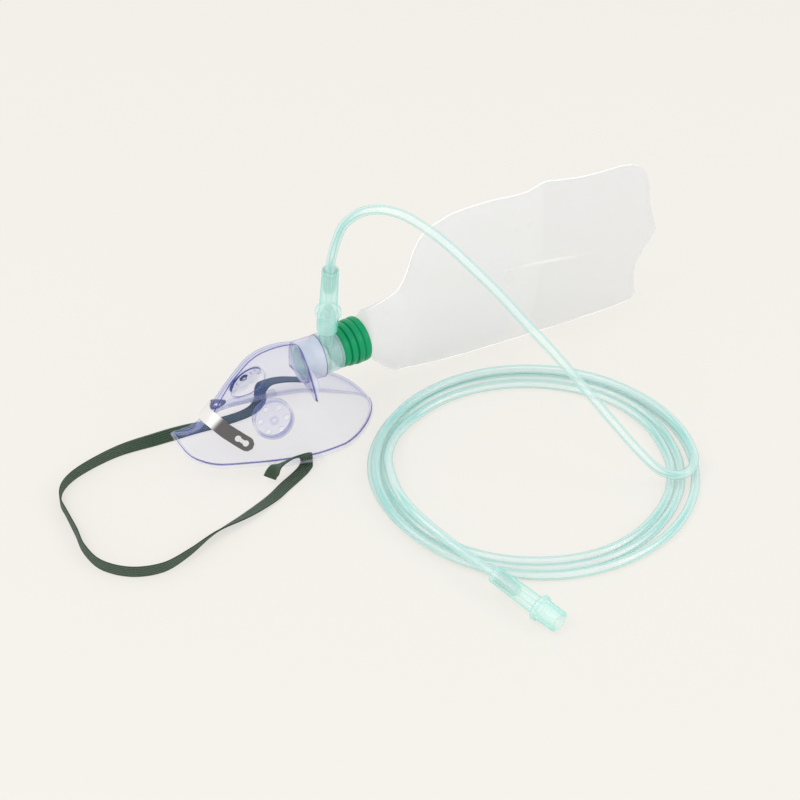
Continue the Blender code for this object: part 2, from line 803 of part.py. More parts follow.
def bag_section(row, inset):
    x, yu, zu, yb, zb, half = row
    last = BAG[-1][0]
    share = max(0.0, (x - last + BAG_END_REACH) / BAG_END_REACH) ** 2
    zu, zb = zu - inset, zb + inset
    out = []
    for k in range(BAG_ROUND):
        a = 2 * math.pi * k / BAG_ROUND
        w = (1 - math.cos(a)) / 2
        y = yu + (yb - yu) * (1 - w) ** 2.2
        dy = -(yb - yu) * 2.2 * (1 - w) ** 1.2
        dz = zu - zb
        size = math.hypot(dy, dz)
        h = (half - inset) * math.sin(a)
        bulge = np.interp(w, [e[0] for e in BAG_END], [e[1] for e in BAG_END]) * share
        out.append((x + bulge, y - h * dz / size, zb + dz * w + h * dy / size))
    return out


def neck_section(s, radius):
    """A round section of the neck, its points in the order of the bag's other sections."""
    side = Vector((0, 0, 1)).cross(tee_axis())
    centre = tee_point(s)
    out = []
    for k in range(BAG_ROUND):
        a = 2 * math.pi * k / BAG_ROUND
        p = centre - Vector((0, 0, radius * math.cos(a))) - side * (radius * math.sin(a))
        out.append(tuple(p))
    return out


def make_bag():
    mat = material("bag_film", (0.86, 0.87, 0.88), 0.45, alpha=0.6)
    rows = [tuple(r) for r in BAG]
    neck = (BARREL_END_S + 2 * FIT_GAP, (BARREL_END_S + RING_END_S) / 2, RING_END_S + 0.6)
    rings_out = [neck_section(t, NECK_R) for t in neck]
    rings_out += [bag_section(r, 0.0) for r in rows]
    rings_in = [neck_section(t, NECK_R - NECK_WALL) for t in neck]
    rings_in += [bag_section(r, BAG_FILM) for r in rows[:-1]]
    count = BAG_ROUND
    verts = [place(p) for ring in rings_out for p in ring]
    base = len(verts)
    verts += [place(p) for ring in rings_in for p in ring]
    faces = []
    for start, total, flip in ((0, len(rings_out), False), (base, len(rings_in), True)):
        for i in range(total - 1):
            a, b = start + i * count, start + (i + 1) * count
            for k in range(count):
                n = (k + 1) % count
                quad = (a + k, a + n, b + n, b + k)
                faces.append(quad[::-1] if flip else quad)
        end = start + (total - 1) * count
        for k in range(count // 2):
            ring = (k, k + 1, (count - k - 1) % count, (count - k) % count)
            face = [end + j for j in dict.fromkeys(ring)]
            if len(face) > 2:
                faces.append(tuple(face))
    for k in range(count):
        n = (k + 1) % count
        faces.append((k, n, base + n, base + k))
    return mesh_object("reservoir_bag", verts, faces, mat)


def connector_profile():
    """Funnel connector from its open cuff to the tip where the tubing goes in."""
    f0 = CUFF_LENGTH
    f1 = f0 + END_FLANGE_T
    barb = STEM_SHOULDER_S - CUFF_START_S
    return [
        (0, CUFF_BORE_R),
        (0, CUFF_R - 0.3),
        (0.5, CUFF_R),
        (f0, CUFF_R),
        (f0 + 0.3, END_FLANGE_R),
        (f1 - 0.3, END_FLANGE_R),
        (f1, END_BODY_R + 0.2),
        (f1 + 2, END_BODY_R),
        (END_LENGTH, END_TIP_R),
        (END_LENGTH, TUBE_R + FIT_GAP),
        (END_LENGTH - SOCKET_DEPTH, TUBE_R + FIT_GAP),
        (END_LENGTH - SOCKET_DEPTH, 1.9),
        (STEM_TOP_S - CUFF_START_S + 1.5, 1.9),
        (STEM_TOP_S - CUFF_START_S + 1.5, BARB_R + FIT_GAP),
        (barb + 2.2, BARB_R + FIT_GAP),
        (barb + 0.9, CUFF_BORE_R),
    ]


SUPPLY_OPEN = Vector((-12.6, -224.0, 8.1))
SUPPLY_TIP_DIR = Vector((-0.325, 0.942, 0.082))


def make_end_connectors():
    mat = material("aqua_connector", (0.42, 0.80, 0.72), 0.15, alpha=0.55)
    foot = Vector((STEM_X, 0, PORT_Z)) + stem_axis() * CUFF_START_S
    revolve("inlet_connector", connector_profile(), foot, stem_axis(), mat, 24)
    mat = material("aqua_supply", (0.42, 0.80, 0.72), 0.15, alpha=0.55)
    revolve("supply_connector", connector_profile(), SUPPLY_OPEN, SUPPLY_TIP_DIR, mat, 24)


# Route of the tubing from the inlet up and over to the top of the coil
LEAD_ROUTE = [
    (-45.4, -12.0, 139.7),
    (-42.4, -15.0, 152.0),
    (-38.4, -19.2, 160.2),
    (-33.2, -24.5, 166.4),
    (-26.3, -31.6, 170.0),
    (-20.0, -38.1, 170.2),
    (-13.2, -45.0, 167.6),
    (-1.3, -57.2, 158.2),
    (11.3, -70.1, 143.5),
    (24.8, -83.9, 126.0),
    (34.2, -93.5, 112.2),
    (44.1, -103.7, 98.1),
    (53.9, -113.7, 83.3),
    (67.1, -127.2, 62.0),
    (80.6, -141.0, 40.5),
    (91.6, -152.2, 24.0),
    (98.8, -159.6, 15.4),
    (105.1, -166.0, 11.95),
]
# Route from the top of the coil to the supply connector
TAIL_ROUTE = [
    (-41.6, -77.0, 11.95),
    (-45.0, -92.0, 11.95),
    (-45.6, -107.0, 11.95),
    (-43.6, -121.5, 11.95),
    (-40.2, -136.5, 11.95),
    (-36.6, -151.5, 12.0),
]


def tube(name, points, mat):
    pts = even(points, max(6, int(round(np.linalg.norm(np.diff(points, axis=0), axis=1).sum() / 14.0))))
    curve = bpy.data.curves.new(name, "CURVE")
    curve.dimensions = "3D"
    curve.bevel_depth = TUBE_R * M
    curve.bevel_resolution = 3
    curve.use_fill_caps = True
    curve.render_resolution_u = 0
    line = curve.splines.new("POLY")
    line.points.add(len(pts) - 1)
    for q, p in zip(line.points, pts):
        q.co = (*place(p), 1.0)
    curve.materials.append(mat)
    ob = bpy.data.objects.new(name, curve)
    bpy.context.scene.collection.objects.link(ob)
    return ob


def make_tubing():
    mat = material("tube_lead", (0.62, 0.86, 0.80), 0.15, alpha=0.6)
    axis = np.array(stem_axis())
    foot = np.array([STEM_X, 0, PORT_Z])
    deep = CUFF_START_S + END_LENGTH - SOCKET_DEPTH + FIT_GAP
    lead = [foot + axis * s for s in (deep, CUFF_START_S + END_LENGTH - 4, CUFF_START_S + END_LENGTH + 6)]
    tube("tubing_lead", spline(lead + [np.array(p) for p in LEAD_ROUTE], 8), mat)
    mat = material("tube_tail", (0.62, 0.86, 0.80), 0.15, alpha=0.6)
    tip = np.array(SUPPLY_OPEN) + np.array(SUPPLY_TIP_DIR.normalized()) * END_LENGTH
    d = np.array(SUPPLY_TIP_DIR.normalized())
    tail = [np.array(p) for p in TAIL_ROUTE] + [tip + d * 5, tip - d * 6, tip - d * (SOCKET_DEPTH - FIT_GAP)]
    tube("tubing_tail", spline(tail, 8), mat)
    mat = material("tube_coil", (0.62, 0.86, 0.80), 0.15, alpha=0.6)
    profile = [
        (0.0, COIL_IN_R + 1.6),
        (0.0, COIL_OUT_R - 1.6),
        (1.4, COIL_OUT_R),
        (COIL_LOW_H - 1.4, COIL_OUT_R),
        (COIL_LOW_H, COIL_OUT_R - 1.6),
        (COIL_LOW_H, COIL_STEP_R + 1.5),
        (COIL_HIGH_H, COIL_STEP_R - 1.0),
        (COIL_HIGH_H, COIL_IN_R + 2.4),
        (COIL_HIGH_H - 2.4, COIL_IN_R),
        (1.6, COIL_IN_R),
    ]
    revolve("tubing_coil", profile, (COIL_X, COIL_Y, 0), (0, 0, 1), mat, 56)


# Route of the strap from its near tail end through both slots to its far tail end, each row a
# point and the direction of the band's width there
STRAP = [
    (-104.8, -39.5, 5.3, 0.89, -0.45, 0.0),
    (-103.0, -40.0, 9.0, 0.85, -0.50, 0.1),
    (-98.5, -39.8, 12.2, 0.55, -0.65, 0.5),
    (-91.0, -38.8, 13.4, 0.15, -0.72, 0.68),
    (-84.5, -37.4, 12.8, 0.35, -0.65, 0.6),
    (-80.6, -36.0, 11.0, 0.80, -0.35, 0.3),
    (-78.6, -34.7, 8.4, 1.0, 0.05, -0.14),
    (-78.0, -34.2, 6.0, 1.0, 0.0, -0.14),
    (-78.0, -34.2, 3.8, 1.0, 0.0, -0.14),
    (-78.1, -34.5, 2.3, 1.0, -0.05, -0.08),
    (-79.3, -35.6, 1.3, 0.90, -0.42, -0.02),
    (-82.8, -38.2, 0.85, 0.66, -0.75, 0.0),
    (-88.6, -41.4, 0.7, 0.50, -0.87, 0.0),
    (-98.0, -46.2, 0.7, 0.45, -0.89, 0.0),
    (-110.0, -53.0, 1.2, 0.40, -0.90, 0.12),
    (-129.3, -60.4, 2.2, 0.35, -0.85, 0.38),
    (-152.0, -67.0, 3.6, 0.20, -0.55, 0.80),
    (-172.7, -76.4, 4.4, 0.0, -0.22, 0.97),
    (-190.5, -80.6, 4.3, 0.0, -0.05, 1.0),
    (-208.1, -75.5, 4.3, 0.0, 0.0, 1.0),
    (-221.0, -62.5, 4.3, 0.05, 0.0, 1.0),
    (-225.0, -45.9, 4.3, 0.10, 0.0, 1.0),
    (-224.0, -30.3, 4.3, 0.10, 0.0, 1.0),
    (-223.5, -14.0, 4.3, 0.0, 0.0, 1.0),
    (-222.8, -1.0, 4.3, 0.0, 0.0, 1.0),
    (-216.8, 10.6, 4.3, 0.0, 0.0, 1.0),
    (-202.5, 19.0, 4.3, 0.0, 0.0, 1.0),
    (-177.0, 25.0, 4.3, 0.0, 0.12, 0.99),
    (-152.0, 25.4, 3.8, 0.0, 0.50, 0.85),
    (-130.0, 26.2, 2.3, 0.05, 0.9, 0.4),
    (-113.0, 25.6, 1.0, 0.05, 1.0, 0.1),
    (-97.0, 25.6, 0.7, 0.0, 1.0, 0.0),
    (-89.5, 26.6, 0.7, -0.25, 0.96, 0.0),
    (-84.3, 28.6, 0.75, -0.50, 0.85, 0.0),
    (-80.7, 31.4, 0.9, -0.75, 0.66, 0.0),
    (-78.7, 33.3, 1.6, -0.96, 0.28, 0.0),
    (-78.0, 34.1, 3.0, -1.0, 0.05, 0.14),
    (-78.0, 34.2, 4.6, -1.0, 0.0, 0.14),
    (-77.9, 34.3, 6.9, -1.0, 0.05, 0.14),
    (-76.0, 35.3, 9.6, -0.92, 0.38, 0.0),
    (-70.4, 36.3, 10.6, -0.35, 0.93, -0.1),
    (-62.0, 36.6, 9.2, -0.15, 0.98, -0.1),
    (-53.0, 35.4, 6.8, -0.25, 0.95, -0.1),
    (-45.0, 32.6, 5.2, -0.40, 0.88, -0.1),
]


def strap_rings(steps=3):
    rows = spline(STRAP, steps)
    pts = rows[:, :3]
    rings = []
    for i, row in enumerate(rows):
        t = pts[min(i + 1, len(pts) - 1)] - pts[max(i - 1, 0)]
        t /= np.linalg.norm(t)
        w = row[3:] - t * (row[3:] @ t)
        w /= np.linalg.norm(w)
        n = np.cross(t, w)
        p = row[:3]
        a, b = w * STRAP_W / 2, n * STRAP_T / 2
        rings.append([p - a - b, p + a - b, p + a + b, p - a + b])
    return rings


def make_strap():
    mat = material("strap_elastic", (0.035, 0.085, 0.05), 0.85)
    return loft("head_strap", strap_rings(), mat)


def main():
    clear_scene()
    make_shell()
    make_clip()
    make_flap(-1)
    make_flap(1)
    make_connector()
    make_inlet_flap()
    make_ring()
    make_bag()
    make_end_connectors()
    make_tubing()
    make_strap()


main()
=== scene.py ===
"""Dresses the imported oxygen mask: clear shell, vents, nose clip, elastic strap, tee,
green ring, reservoir bag, funnel connectors and the coiled supply tubing.

Tables of places are millimetres in the mask's own measures (x from nose to chin, z up
from the surface it lies on); at() turns them into metres in the frame.
"""

import math

import bmesh
import bpy
import numpy as np
from bpy.props import FloatProperty, FloatVectorProperty, IntProperty, PointerProperty
from bpy.types import Operator, Panel, PropertyGroup
from mathutils import Matrix, Vector


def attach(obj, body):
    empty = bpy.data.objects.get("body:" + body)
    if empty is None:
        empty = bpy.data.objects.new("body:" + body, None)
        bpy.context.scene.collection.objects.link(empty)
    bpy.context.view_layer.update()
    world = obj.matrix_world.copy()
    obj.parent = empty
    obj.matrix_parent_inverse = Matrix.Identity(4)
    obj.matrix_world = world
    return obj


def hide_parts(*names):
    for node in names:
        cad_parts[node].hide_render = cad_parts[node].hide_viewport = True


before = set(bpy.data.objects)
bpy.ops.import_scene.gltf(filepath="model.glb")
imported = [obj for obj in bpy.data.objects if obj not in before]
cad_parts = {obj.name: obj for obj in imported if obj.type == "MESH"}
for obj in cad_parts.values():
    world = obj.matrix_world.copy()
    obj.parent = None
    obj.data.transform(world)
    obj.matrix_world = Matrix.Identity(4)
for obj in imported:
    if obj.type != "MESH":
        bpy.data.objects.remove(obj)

bl_info = {
    "name": "Oxygen mask looks",
    "version": (1, 0, 0),
    "blender": (4, 5, 0),
    "location": "3D View > Sidebar > Oxygen mask",
    "description": "Builds the visible pieces of an oxygen mask around its packed frame",
    "category": "Object",
}

MM = 0.001
MASK_X = -19.1
MASK_Y = -20.4


def at(p):
    """Metres in the frame from millimetres in the mask's measures."""
    return Vector(((p[0] - MASK_X) * MM, (p[1] - MASK_Y) * MM, p[2] * MM))


# ---- geometry helpers


def smooth_rows(rows, steps):
    """Rows of numbers refined by a Catmull-Rom spline, steps intervals to each given one."""
    rows = np.asarray(rows, float)
    ends = np.vstack([2 * rows[:1] - rows[1:2], rows, 2 * rows[-1:] - rows[-2:-1]])
    out = []
    for i in range(1, len(ends) - 2):
        a, b, c, d = ends[i - 1 : i + 3]
        for k in range(steps):
            t = k / steps
            out.append(
                0.5
                * (
                    2 * b
                    + (c - a) * t
                    + (2 * a - 5 * b + 4 * c - d) * t * t
                    + (3 * b - a - 3 * c + d) * t**3
                )
            )
    out.append(ends[-2])
    return np.array(out)


def run_lengths(points):
    """How far along the line through them each of the points lies."""
    return np.r_[0, np.cumsum(np.linalg.norm(np.diff(points, axis=0), axis=1))]


def evenly(points, count):
    """The same line in count points with equal steps between them."""
    points = np.asarray(points, float)
    run = run_lengths(points)
    marks = np.linspace(0, run[-1], count)
    return np.stack([np.interp(marks, run, points[:, k]) for k in range(points.shape[1])], axis=1)


def spaced(points, gap):
    """The points of a line without those nearer than a gap to the last one kept."""
    kept = [points[0]]
    for p in points[1:]:
        if np.linalg.norm(p - kept[-1]) > gap:
            kept.append(p)
    return np.array(kept)


def unit(v):
    """A vector's direction, of length 1."""
    v = np.asarray(v, float)
    return v / np.linalg.norm(v)


def piece(name, verts, faces, mat, sharp=None):
    """A smooth-shaded mesh object at the origin; edges over the sharp angle stay crisp."""
    mesh = bpy.data.meshes.new(name)
    mesh.from_pydata([tuple(v) for v in verts], [], faces)
    mesh.validate()
    bm = bmesh.new()
    bm.from_mesh(mesh)
    bmesh.ops.remove_doubles(bm, verts=bm.verts, dist=1e-6)
    finish_mesh(bm, mesh, sharp)
    mesh.materials.append(mat)
    ob = bpy.data.objects.new(name, mesh)
    bpy.context.scene.collection.objects.link(ob)
    return ob


def finish_mesh(bm, mesh, sharp, outward=True):
    """Writes a bmesh back as a smooth-shaded mesh with crisp edges over the sharp angle."""
    if outward:
        bmesh.ops.recalc_face_normals(bm, faces=bm.faces)
    for face in bm.faces:
        face.smooth = True
    limit = math.radians(sharp) if sharp else None
    for edge in bm.edges:
        if limit and len(edge.link_faces) == 2 and edge.calc_face_angle(0) > limit:
            edge.smooth = False
    bm.to_mesh(mesh)
    bm.free()


def baked(ob):
    """Replaces an object's mesh by its evaluated one, its modifiers used up."""
    graph = bpy.context.evaluated_depsgraph_get()
    mesh = bpy.data.meshes.new_from_object(ob.evaluated_get(graph))
    old = ob.data
    ob.modifiers.clear()
    ob.data = mesh
    bpy.data.meshes.remove(old)
    return ob


def joined(name, parts):
    """One object out of several; their material slots follow each other."""
    with bpy.context.temp_override(
        active_object=parts[0], selected_editable_objects=parts, selected_objects=parts
    ):
        bpy.ops.object.join()
    parts[0].name = name
    parts[0].data.name = name
    return parts[0]


def axis_frame(axis):
    """Two directions across an axis and the axis itself."""
    w = Vector(axis).normalized()
    ref = Vector((0, 0, 1)) if abs(w.z) < 0.9 else Vector((1, 0, 0))
    u = ref.cross(w).normalized()
    return u, w.cross(u), w


def eased(profile, radius):
    """A profile with each of its corners cut by a small round."""
    pts = [np.array(p, float) for p in profile]
    out = []
    for i, p in enumerate(pts):
        a, b = pts[i - 1], pts[(i + 1) % len(pts)]
        la, lb = np.linalg.norm(a - p), np.linalg.norm(b - p)
        if la < 1e-6 or lb < 1e-6 or p[1] < 1e-6:
            out.append(p)
            continue
        ua, ub = (a - p) / la, (b - p) / lb
        if ua @ ub < -0.995:
            out.append(p)
            continue
        cut = min(radius, 0.45 * la, 0.45 * lb)
        for t in (0.0, 0.5, 1.0):
            out.append(p + ua * cut * (1 - t) ** 2 + ub * cut * t**2)
    return out


# Angle, in degrees, over which a turned part's edges stay crisp
LATHE_SHARP = 40


def lathe(name, profile, start, axis, mat, turns=72, round_by=0.25):
    """A closed profile of (distance along, radius) turned about an axis through start."""
    u, v, w = axis_frame(axis)
    verts, faces, rings = [], [], []
    start = Vector(start)
    for s, r in eased(profile, round_by):
        if r < 1e-6:
            verts.append(at(start + w * s))
            rings.append([len(verts) - 1] * turns)
            continue
        ring = []
        for k in range(turns):
            a = 2 * math.pi * k / turns
            verts.append(at(start + w * s + (u * math.cos(a) + v * math.sin(a)) * r))
            ring.append(len(verts) - 1)
        rings.append(ring)
    for i in range(len(rings)):
        a, b = rings[i], rings[(i + 1) % len(rings)]
        for k in range(turns):
            n = (k + 1) % turns
            face = list(dict.fromkeys((a[k], a[n], b[n], b[k])))
            if len(face) > 2:
                faces.append(face)
    return piece(name, verts, faces, mat, sharp=LATHE_SHARP)


def swept(name, rings, mat, closed=False, sharp=50, uv=None):
    """A solid through rings of points; uv gives (across, along) for each ring and corner."""
    count = len(rings[0])
    verts = [at(p) for ring in rings for p in ring]
    faces = []
    last = len(rings) if closed else len(rings) - 1
    for i in range(last):
        a, b = i * count, ((i + 1) % len(rings)) * count
        for k in range(count):
            n = (k + 1) % count
            faces.append((a + k, a + n, b + n, b + k))
    if not closed:
        faces.append(tuple(range(count))[::-1])
        faces.append(tuple((len(rings) - 1) * count + k for k in range(count)))
    ob = piece(name, verts, faces, mat, sharp)
    if uv:
        layer = ob.data.uv_layers.new(name="run")
        for loop in ob.data.loops:
            i, k = divmod(loop.vertex_index, count)
            layer.data[loop.index].uv = uv(i, k)
    return ob


def grid(name, rows, mat, cap_start=None, cap_end=None, closed=False, sharp=None):
    """A sheet through rows of points, with a fan to a tip at either end if one is given."""
    count = len(rows[0])
    verts = [at(p) for row in rows for p in row]
    faces = []
    for i in range(len(rows) - 1):
        a, b = i * count, (i + 1) * count
        for k in range(count if closed else count - 1):
            n = (k + 1) % count
            faces.append((a + k, b + k, b + n, a + n))
    for base, tip, turn in ((0, cap_start, 1), ((len(rows) - 1) * count, cap_end, -1)):
        if tip is None:
            continue
        verts.append(at(tip))
        for k in range(count if closed else count - 1):
            n = (k + 1) % count
            faces.append((base + k, base + n, len(verts) - 1)[::turn])
    return piece(name, verts, faces, mat, sharp)


def punch(ob, centre, normal, radius, reach):
    """Cuts a round hole in a thin sheet and draws the ragged edge to the circle."""
    c, n = at(centre), Vector(normal).normalized()
    radius, reach = radius * MM, reach * MM
    bm = bmesh.new()
    bm.from_mesh(ob.data)

    def away(p):
        d = p - c
        along = d.dot(n)
        return (d - n * along).length if abs(along) < reach else 1.0

    gone = [f for f in bm.faces if any(away(v.co) < radius for v in f.verts)]
    edge = {v for f in gone for v in f.verts}
    bmesh.ops.delete(bm, geom=gone, context="FACES")
    for v in edge:
        if not v.is_valid or not v.link_faces:
            continue
        d = v.co - c
        along = n * d.dot(n)
        flat = d - along
        if flat.length > 1e-9:
            v.co = c + along + flat * (radius / flat.length)
    bm.to_mesh(ob.data)
    bm.free()


# ---- node helpers


KINDS = {
    "float": "NodeSocketFloat",
    "int": "NodeSocketInt",
    "colour": "NodeSocketColor",
    "geometry": "NodeSocketGeometry",
    "material": "NodeSocketMaterial",
}


def group_io(tree, inputs, outputs):
    """The sockets of a node group: inputs as (kind, value), outputs as kind."""
    for name, (kind, value) in inputs.items():
        sock = tree.interface.new_socket(name, in_out="INPUT", socket_type=KINDS[kind])
        if value is not None:
            sock.default_value = value
    for name, kind in outputs.items():
        tree.interface.new_socket(name, in_out="OUTPUT", socket_type=KINDS[kind])


def add(tree, kind, **values):
    """A node with its properties and unlinked inputs set by name or number."""
    node = tree.nodes.new(kind)
    for key, value in values.items():
        if key.startswith("in_"):
            key = key[3:]
            sock = node.inputs[int(key)] if key.isdigit() else node.inputs[key.replace("_", " ")]
            sock.default_value = value
        else:
            setattr(node, key, value)
    return node


def geometry_tree(name, inputs):
    """A new geometry node group with these inputs beside its geometry, and its two end nodes."""
    tree = bpy.data.node_groups.new(name, "GeometryNodeTree")
    group_io(tree, {"Geometry": ("geometry", None), **inputs}, {"Geometry": "geometry"})
    return tree, tree.nodes.new("NodeGroupInput"), tree.nodes.new("NodeGroupOutput")


def use_tree(ob, tree, **values):
    """Runs a geometry tree on an object, its inputs set by their sockets' identifiers."""
    mod = ob.modifiers.new(tree.name, "NODES")
    mod.node_group = tree
    for item in tree.interface.items_tree:
        if item.item_type == "SOCKET" and item.in_out == "INPUT":
            key = item.name.lower().replace(" ", "_")
            if key in values:
                mod[item.identifier] = values[key]
    return baked(ob)


def perforation_tree():
    """A ring of round holes cut through a plate that lies across the Z axis."""
    tree, start, end = geometry_tree(
        "Ring of holes",
        {
            "Count": ("int", 6),
            "Ring radius": ("float", 0.008),
            "Hole radius": ("float", 0.00175),
            "Depth": ("float", 0.01),
            "Material": ("material", None),
        },
    )
    link = tree.links.new
    ring = add(tree, "GeometryNodeMeshCircle", fill_type="NONE")
    drill = add(tree, "GeometryNodeMeshCylinder", in_Vertices=24)
    spots = add(tree, "GeometryNodeInstanceOnPoints")
    real = add(tree, "GeometryNodeRealizeInstances")
    cut = add(tree, "GeometryNodeMeshBoolean", operation="DIFFERENCE", solver="EXACT")
    paint = add(tree, "GeometryNodeSetMaterial")
    link(start.outputs["Count"], ring.inputs["Vertices"])
    link(start.outputs["Ring radius"], ring.inputs["Radius"])
    link(start.outputs["Hole radius"], drill.inputs["Radius"])
    link(start.outputs["Depth"], drill.inputs["Depth"])
    link(ring.outputs["Mesh"], spots.inputs["Points"])
    link(drill.outputs["Mesh"], spots.inputs["Instance"])
    link(spots.outputs["Instances"], real.inputs["Geometry"])
    link(start.outputs["Geometry"], cut.inputs["Mesh 1"])
    link(real.outputs["Geometry"], cut.inputs["Mesh 2"])
    link(cut.outputs["Mesh"], paint.inputs["Geometry"])
    link(start.outputs["Material"], paint.inputs["Material"])
    link(paint.outputs["Geometry"], end.inputs["Geometry"])
    return tree


def ribs_tree():
    """Bars that stand around the Z axis, added to the geometry that comes in."""
    tree, start, end = geometry_tree(
        "Bars round an axis",
        {
            "Count": ("int", 12),
            "Radius": ("float", 0.005),
            "Width": ("float", 0.001),
            "Depth": ("float", 0.001),
            "Length": ("float", 0.02),
            "Middle": ("float", 0.0),
            "Material": ("material", None),
        },
    )
    link = tree.links.new
    ring = add(tree, "GeometryNodeMeshCircle", fill_type="NONE")
    size = add(tree, "ShaderNodeCombineXYZ")
    bar = add(tree, "GeometryNodeMeshCube")
    spot = add(tree, "GeometryNodeInputPosition")
    turn = add(tree, "FunctionNodeAlignRotationToVector", axis="X")
    bars = add(tree, "GeometryNodeInstanceOnPoints")
    real = add(tree, "GeometryNodeRealizeInstances")
    lift = add(tree, "ShaderNodeCombineXYZ")
    move = add(tree, "GeometryNodeSetPosition")
    both = add(tree, "GeometryNodeJoinGeometry")
    paint = add(tree, "GeometryNodeSetMaterial")
    link(start.outputs["Count"], ring.inputs["Vertices"])
    link(start.outputs["Radius"], ring.inputs["Radius"])
    link(start.outputs["Depth"], size.inputs["X"])
    link(start.outputs["Width"], size.inputs["Y"])
    link(start.outputs["Length"], size.inputs["Z"])
    link(size.outputs["Vector"], bar.inputs["Size"])
    link(spot.outputs["Position"], turn.inputs["Vector"])
    link(ring.outputs["Mesh"], bars.inputs["Points"])
    link(bar.outputs["Mesh"], bars.inputs["Instance"])
    link(turn.outputs["Rotation"], bars.inputs["Rotation"])
    link(start.outputs["Middle"], lift.inputs["Z"])
    link(bars.outputs["Instances"], real.inputs["Geometry"])
    link(real.outputs["Geometry"], move.inputs["Geometry"])
    link(lift.outputs["Vector"], move.inputs["Offset"])
    link(move.outputs["Geometry"], paint.inputs["Geometry"])
    link(start.outputs["Material"], paint.inputs["Material"])
    link(paint.outputs["Geometry"], both.inputs["Geometry"])
    link(start.outputs["Geometry"], both.inputs["Geometry"])
    link(both.outputs["Geometry"], end.inputs["Geometry"])
    return tree


# ---- materials


def mottle_group():
    """Soft cloudy variation of a colour and of a roughness, as in moulded soft plastic."""
    if "Mottle" in bpy.data.node_groups:
        return bpy.data.node_groups["Mottle"]
    tree = bpy.data.node_groups.new("Mottle", "ShaderNodeTree")
    inputs = {
        "Colour": ("colour", (1, 1, 1, 1)),
        "Depth": ("float", 0.06),
        "Scale": ("float", 60.0),
        "Roughness": ("float", 0.2),
        "Spread": ("float", 0.06),
    }
    group_io(tree, inputs, {"Colour": "colour", "Roughness": "float", "Height": "float"})
    start, end = tree.nodes.new("NodeGroupInput"), tree.nodes.new("NodeGroupOutput")
    link = tree.links.new
    where = add(tree, "ShaderNodeTexCoord")
    noise = add(tree, "ShaderNodeTexNoise", in_Detail=3.0, in_Roughness=0.55)
    link(where.outputs["Object"], noise.inputs["Vector"])
    link(start.outputs["Scale"], noise.inputs["Scale"])
    centred = add(tree, "ShaderNodeMath", operation="SUBTRACT", in_1=0.5)
    link(noise.outputs["Fac"], centred.inputs[0])
    shade = add(tree, "ShaderNodeMath", operation="MULTIPLY_ADD", in_2=1.0)
    link(centred.outputs[0], shade.inputs[0])
    link(start.outputs["Depth"], shade.inputs[1])
    tint = add(tree, "ShaderNodeVectorMath", operation="SCALE")
    link(start.outputs["Colour"], tint.inputs["Vector"])
    link(shade.outputs[0], tint.inputs["Scale"])
    rough = add(tree, "ShaderNodeMath", operation="MULTIPLY_ADD", use_clamp=True)
    link(centred.outputs[0], rough.inputs[0])
    link(start.outputs["Spread"], rough.inputs[1])
    link(start.outputs["Roughness"], rough.inputs[2])
    link(tint.outputs["Vector"], end.inputs["Colour"])
    link(rough.outputs[0], end.inputs["Roughness"])
    link(noise.outputs["Fac"], end.inputs["Height"])
    return tree


def linear(colour):
    """Linear light values of a display colour given in 0 to 255."""
    return tuple(
        (c / 255 / 12.92) if c <= 10.3 else ((c / 255 + 0.055) / 1.055) ** 2.4 for c in colour[:3]
    ) + (1.0,)


def base_material(name, colour, roughness, depth=0.05, scale=60.0, spread=0.06, bump=0.0):
    """A principled material with the cloudy variation of soft plastic."""
    mat = bpy.data.materials.new(name)
    mat.use_nodes = True
    tree = mat.node_tree
    shader = tree.nodes["Principled BSDF"]
    shader.inputs["Base Color"].default_value = colour
    shader.inputs["Roughness"].default_value = roughness
    mottle = add(tree, "ShaderNodeGroup", node_tree=mottle_group())
    mottle.inputs["Colour"].default_value = colour
    mottle.inputs["Depth"].default_value = depth
    mottle.inputs["Scale"].default_value = scale
    mottle.inputs["Roughness"].default_value = roughness
    mottle.inputs["Spread"].default_value = spread
    tree.links.new(mottle.outputs["Colour"], shader.inputs["Base Color"])
    tree.links.new(mottle.outputs["Roughness"], shader.inputs["Roughness"])
    if bump:
        lift = add(tree, "ShaderNodeBump", in_Strength=bump, in_Distance=0.0004)
        tree.links.new(mottle.outputs["Height"], lift.inputs["Height"])
        tree.links.new(lift.outputs["Normal"], shader.inputs["Normal"])
    return mat, tree, shader, mottle


def clear_material(
    name, colour, edge, alpha, edge_alpha, roughness=0.12, power=3.0, bump=0.0, depth=0.05
):
    """Clear film or moulding: see-through face on, deeper in colour and denser at its edges."""
    mat, tree, shader, mottle = base_material(name, colour, roughness, depth=depth, bump=bump)
    link = tree.links.new
    facing = add(tree, "ShaderNodeLayerWeight", in_Blend=0.5)
    sharper = add(tree, "ShaderNodeMath", operation="POWER", in_1=power)
    link(facing.outputs["Facing"], sharper.inputs[0])
    blend = add(tree, "ShaderNodeMix", data_type="RGBA")
    link(sharper.outputs[0], blend.inputs["Factor"])
    link(mottle.outputs["Colour"], blend.inputs[6])
    blend.inputs[7].default_value = edge
    link(blend.outputs[2], shader.inputs["Base Color"])
    dense = add(tree, "ShaderNodeMapRange", in_3=alpha, in_4=edge_alpha)
    link(sharper.outputs[0], dense.inputs["Value"])
    link(dense.outputs["Result"], shader.inputs["Alpha"])
    shader.inputs["IOR"].default_value = 1.45
    return mat


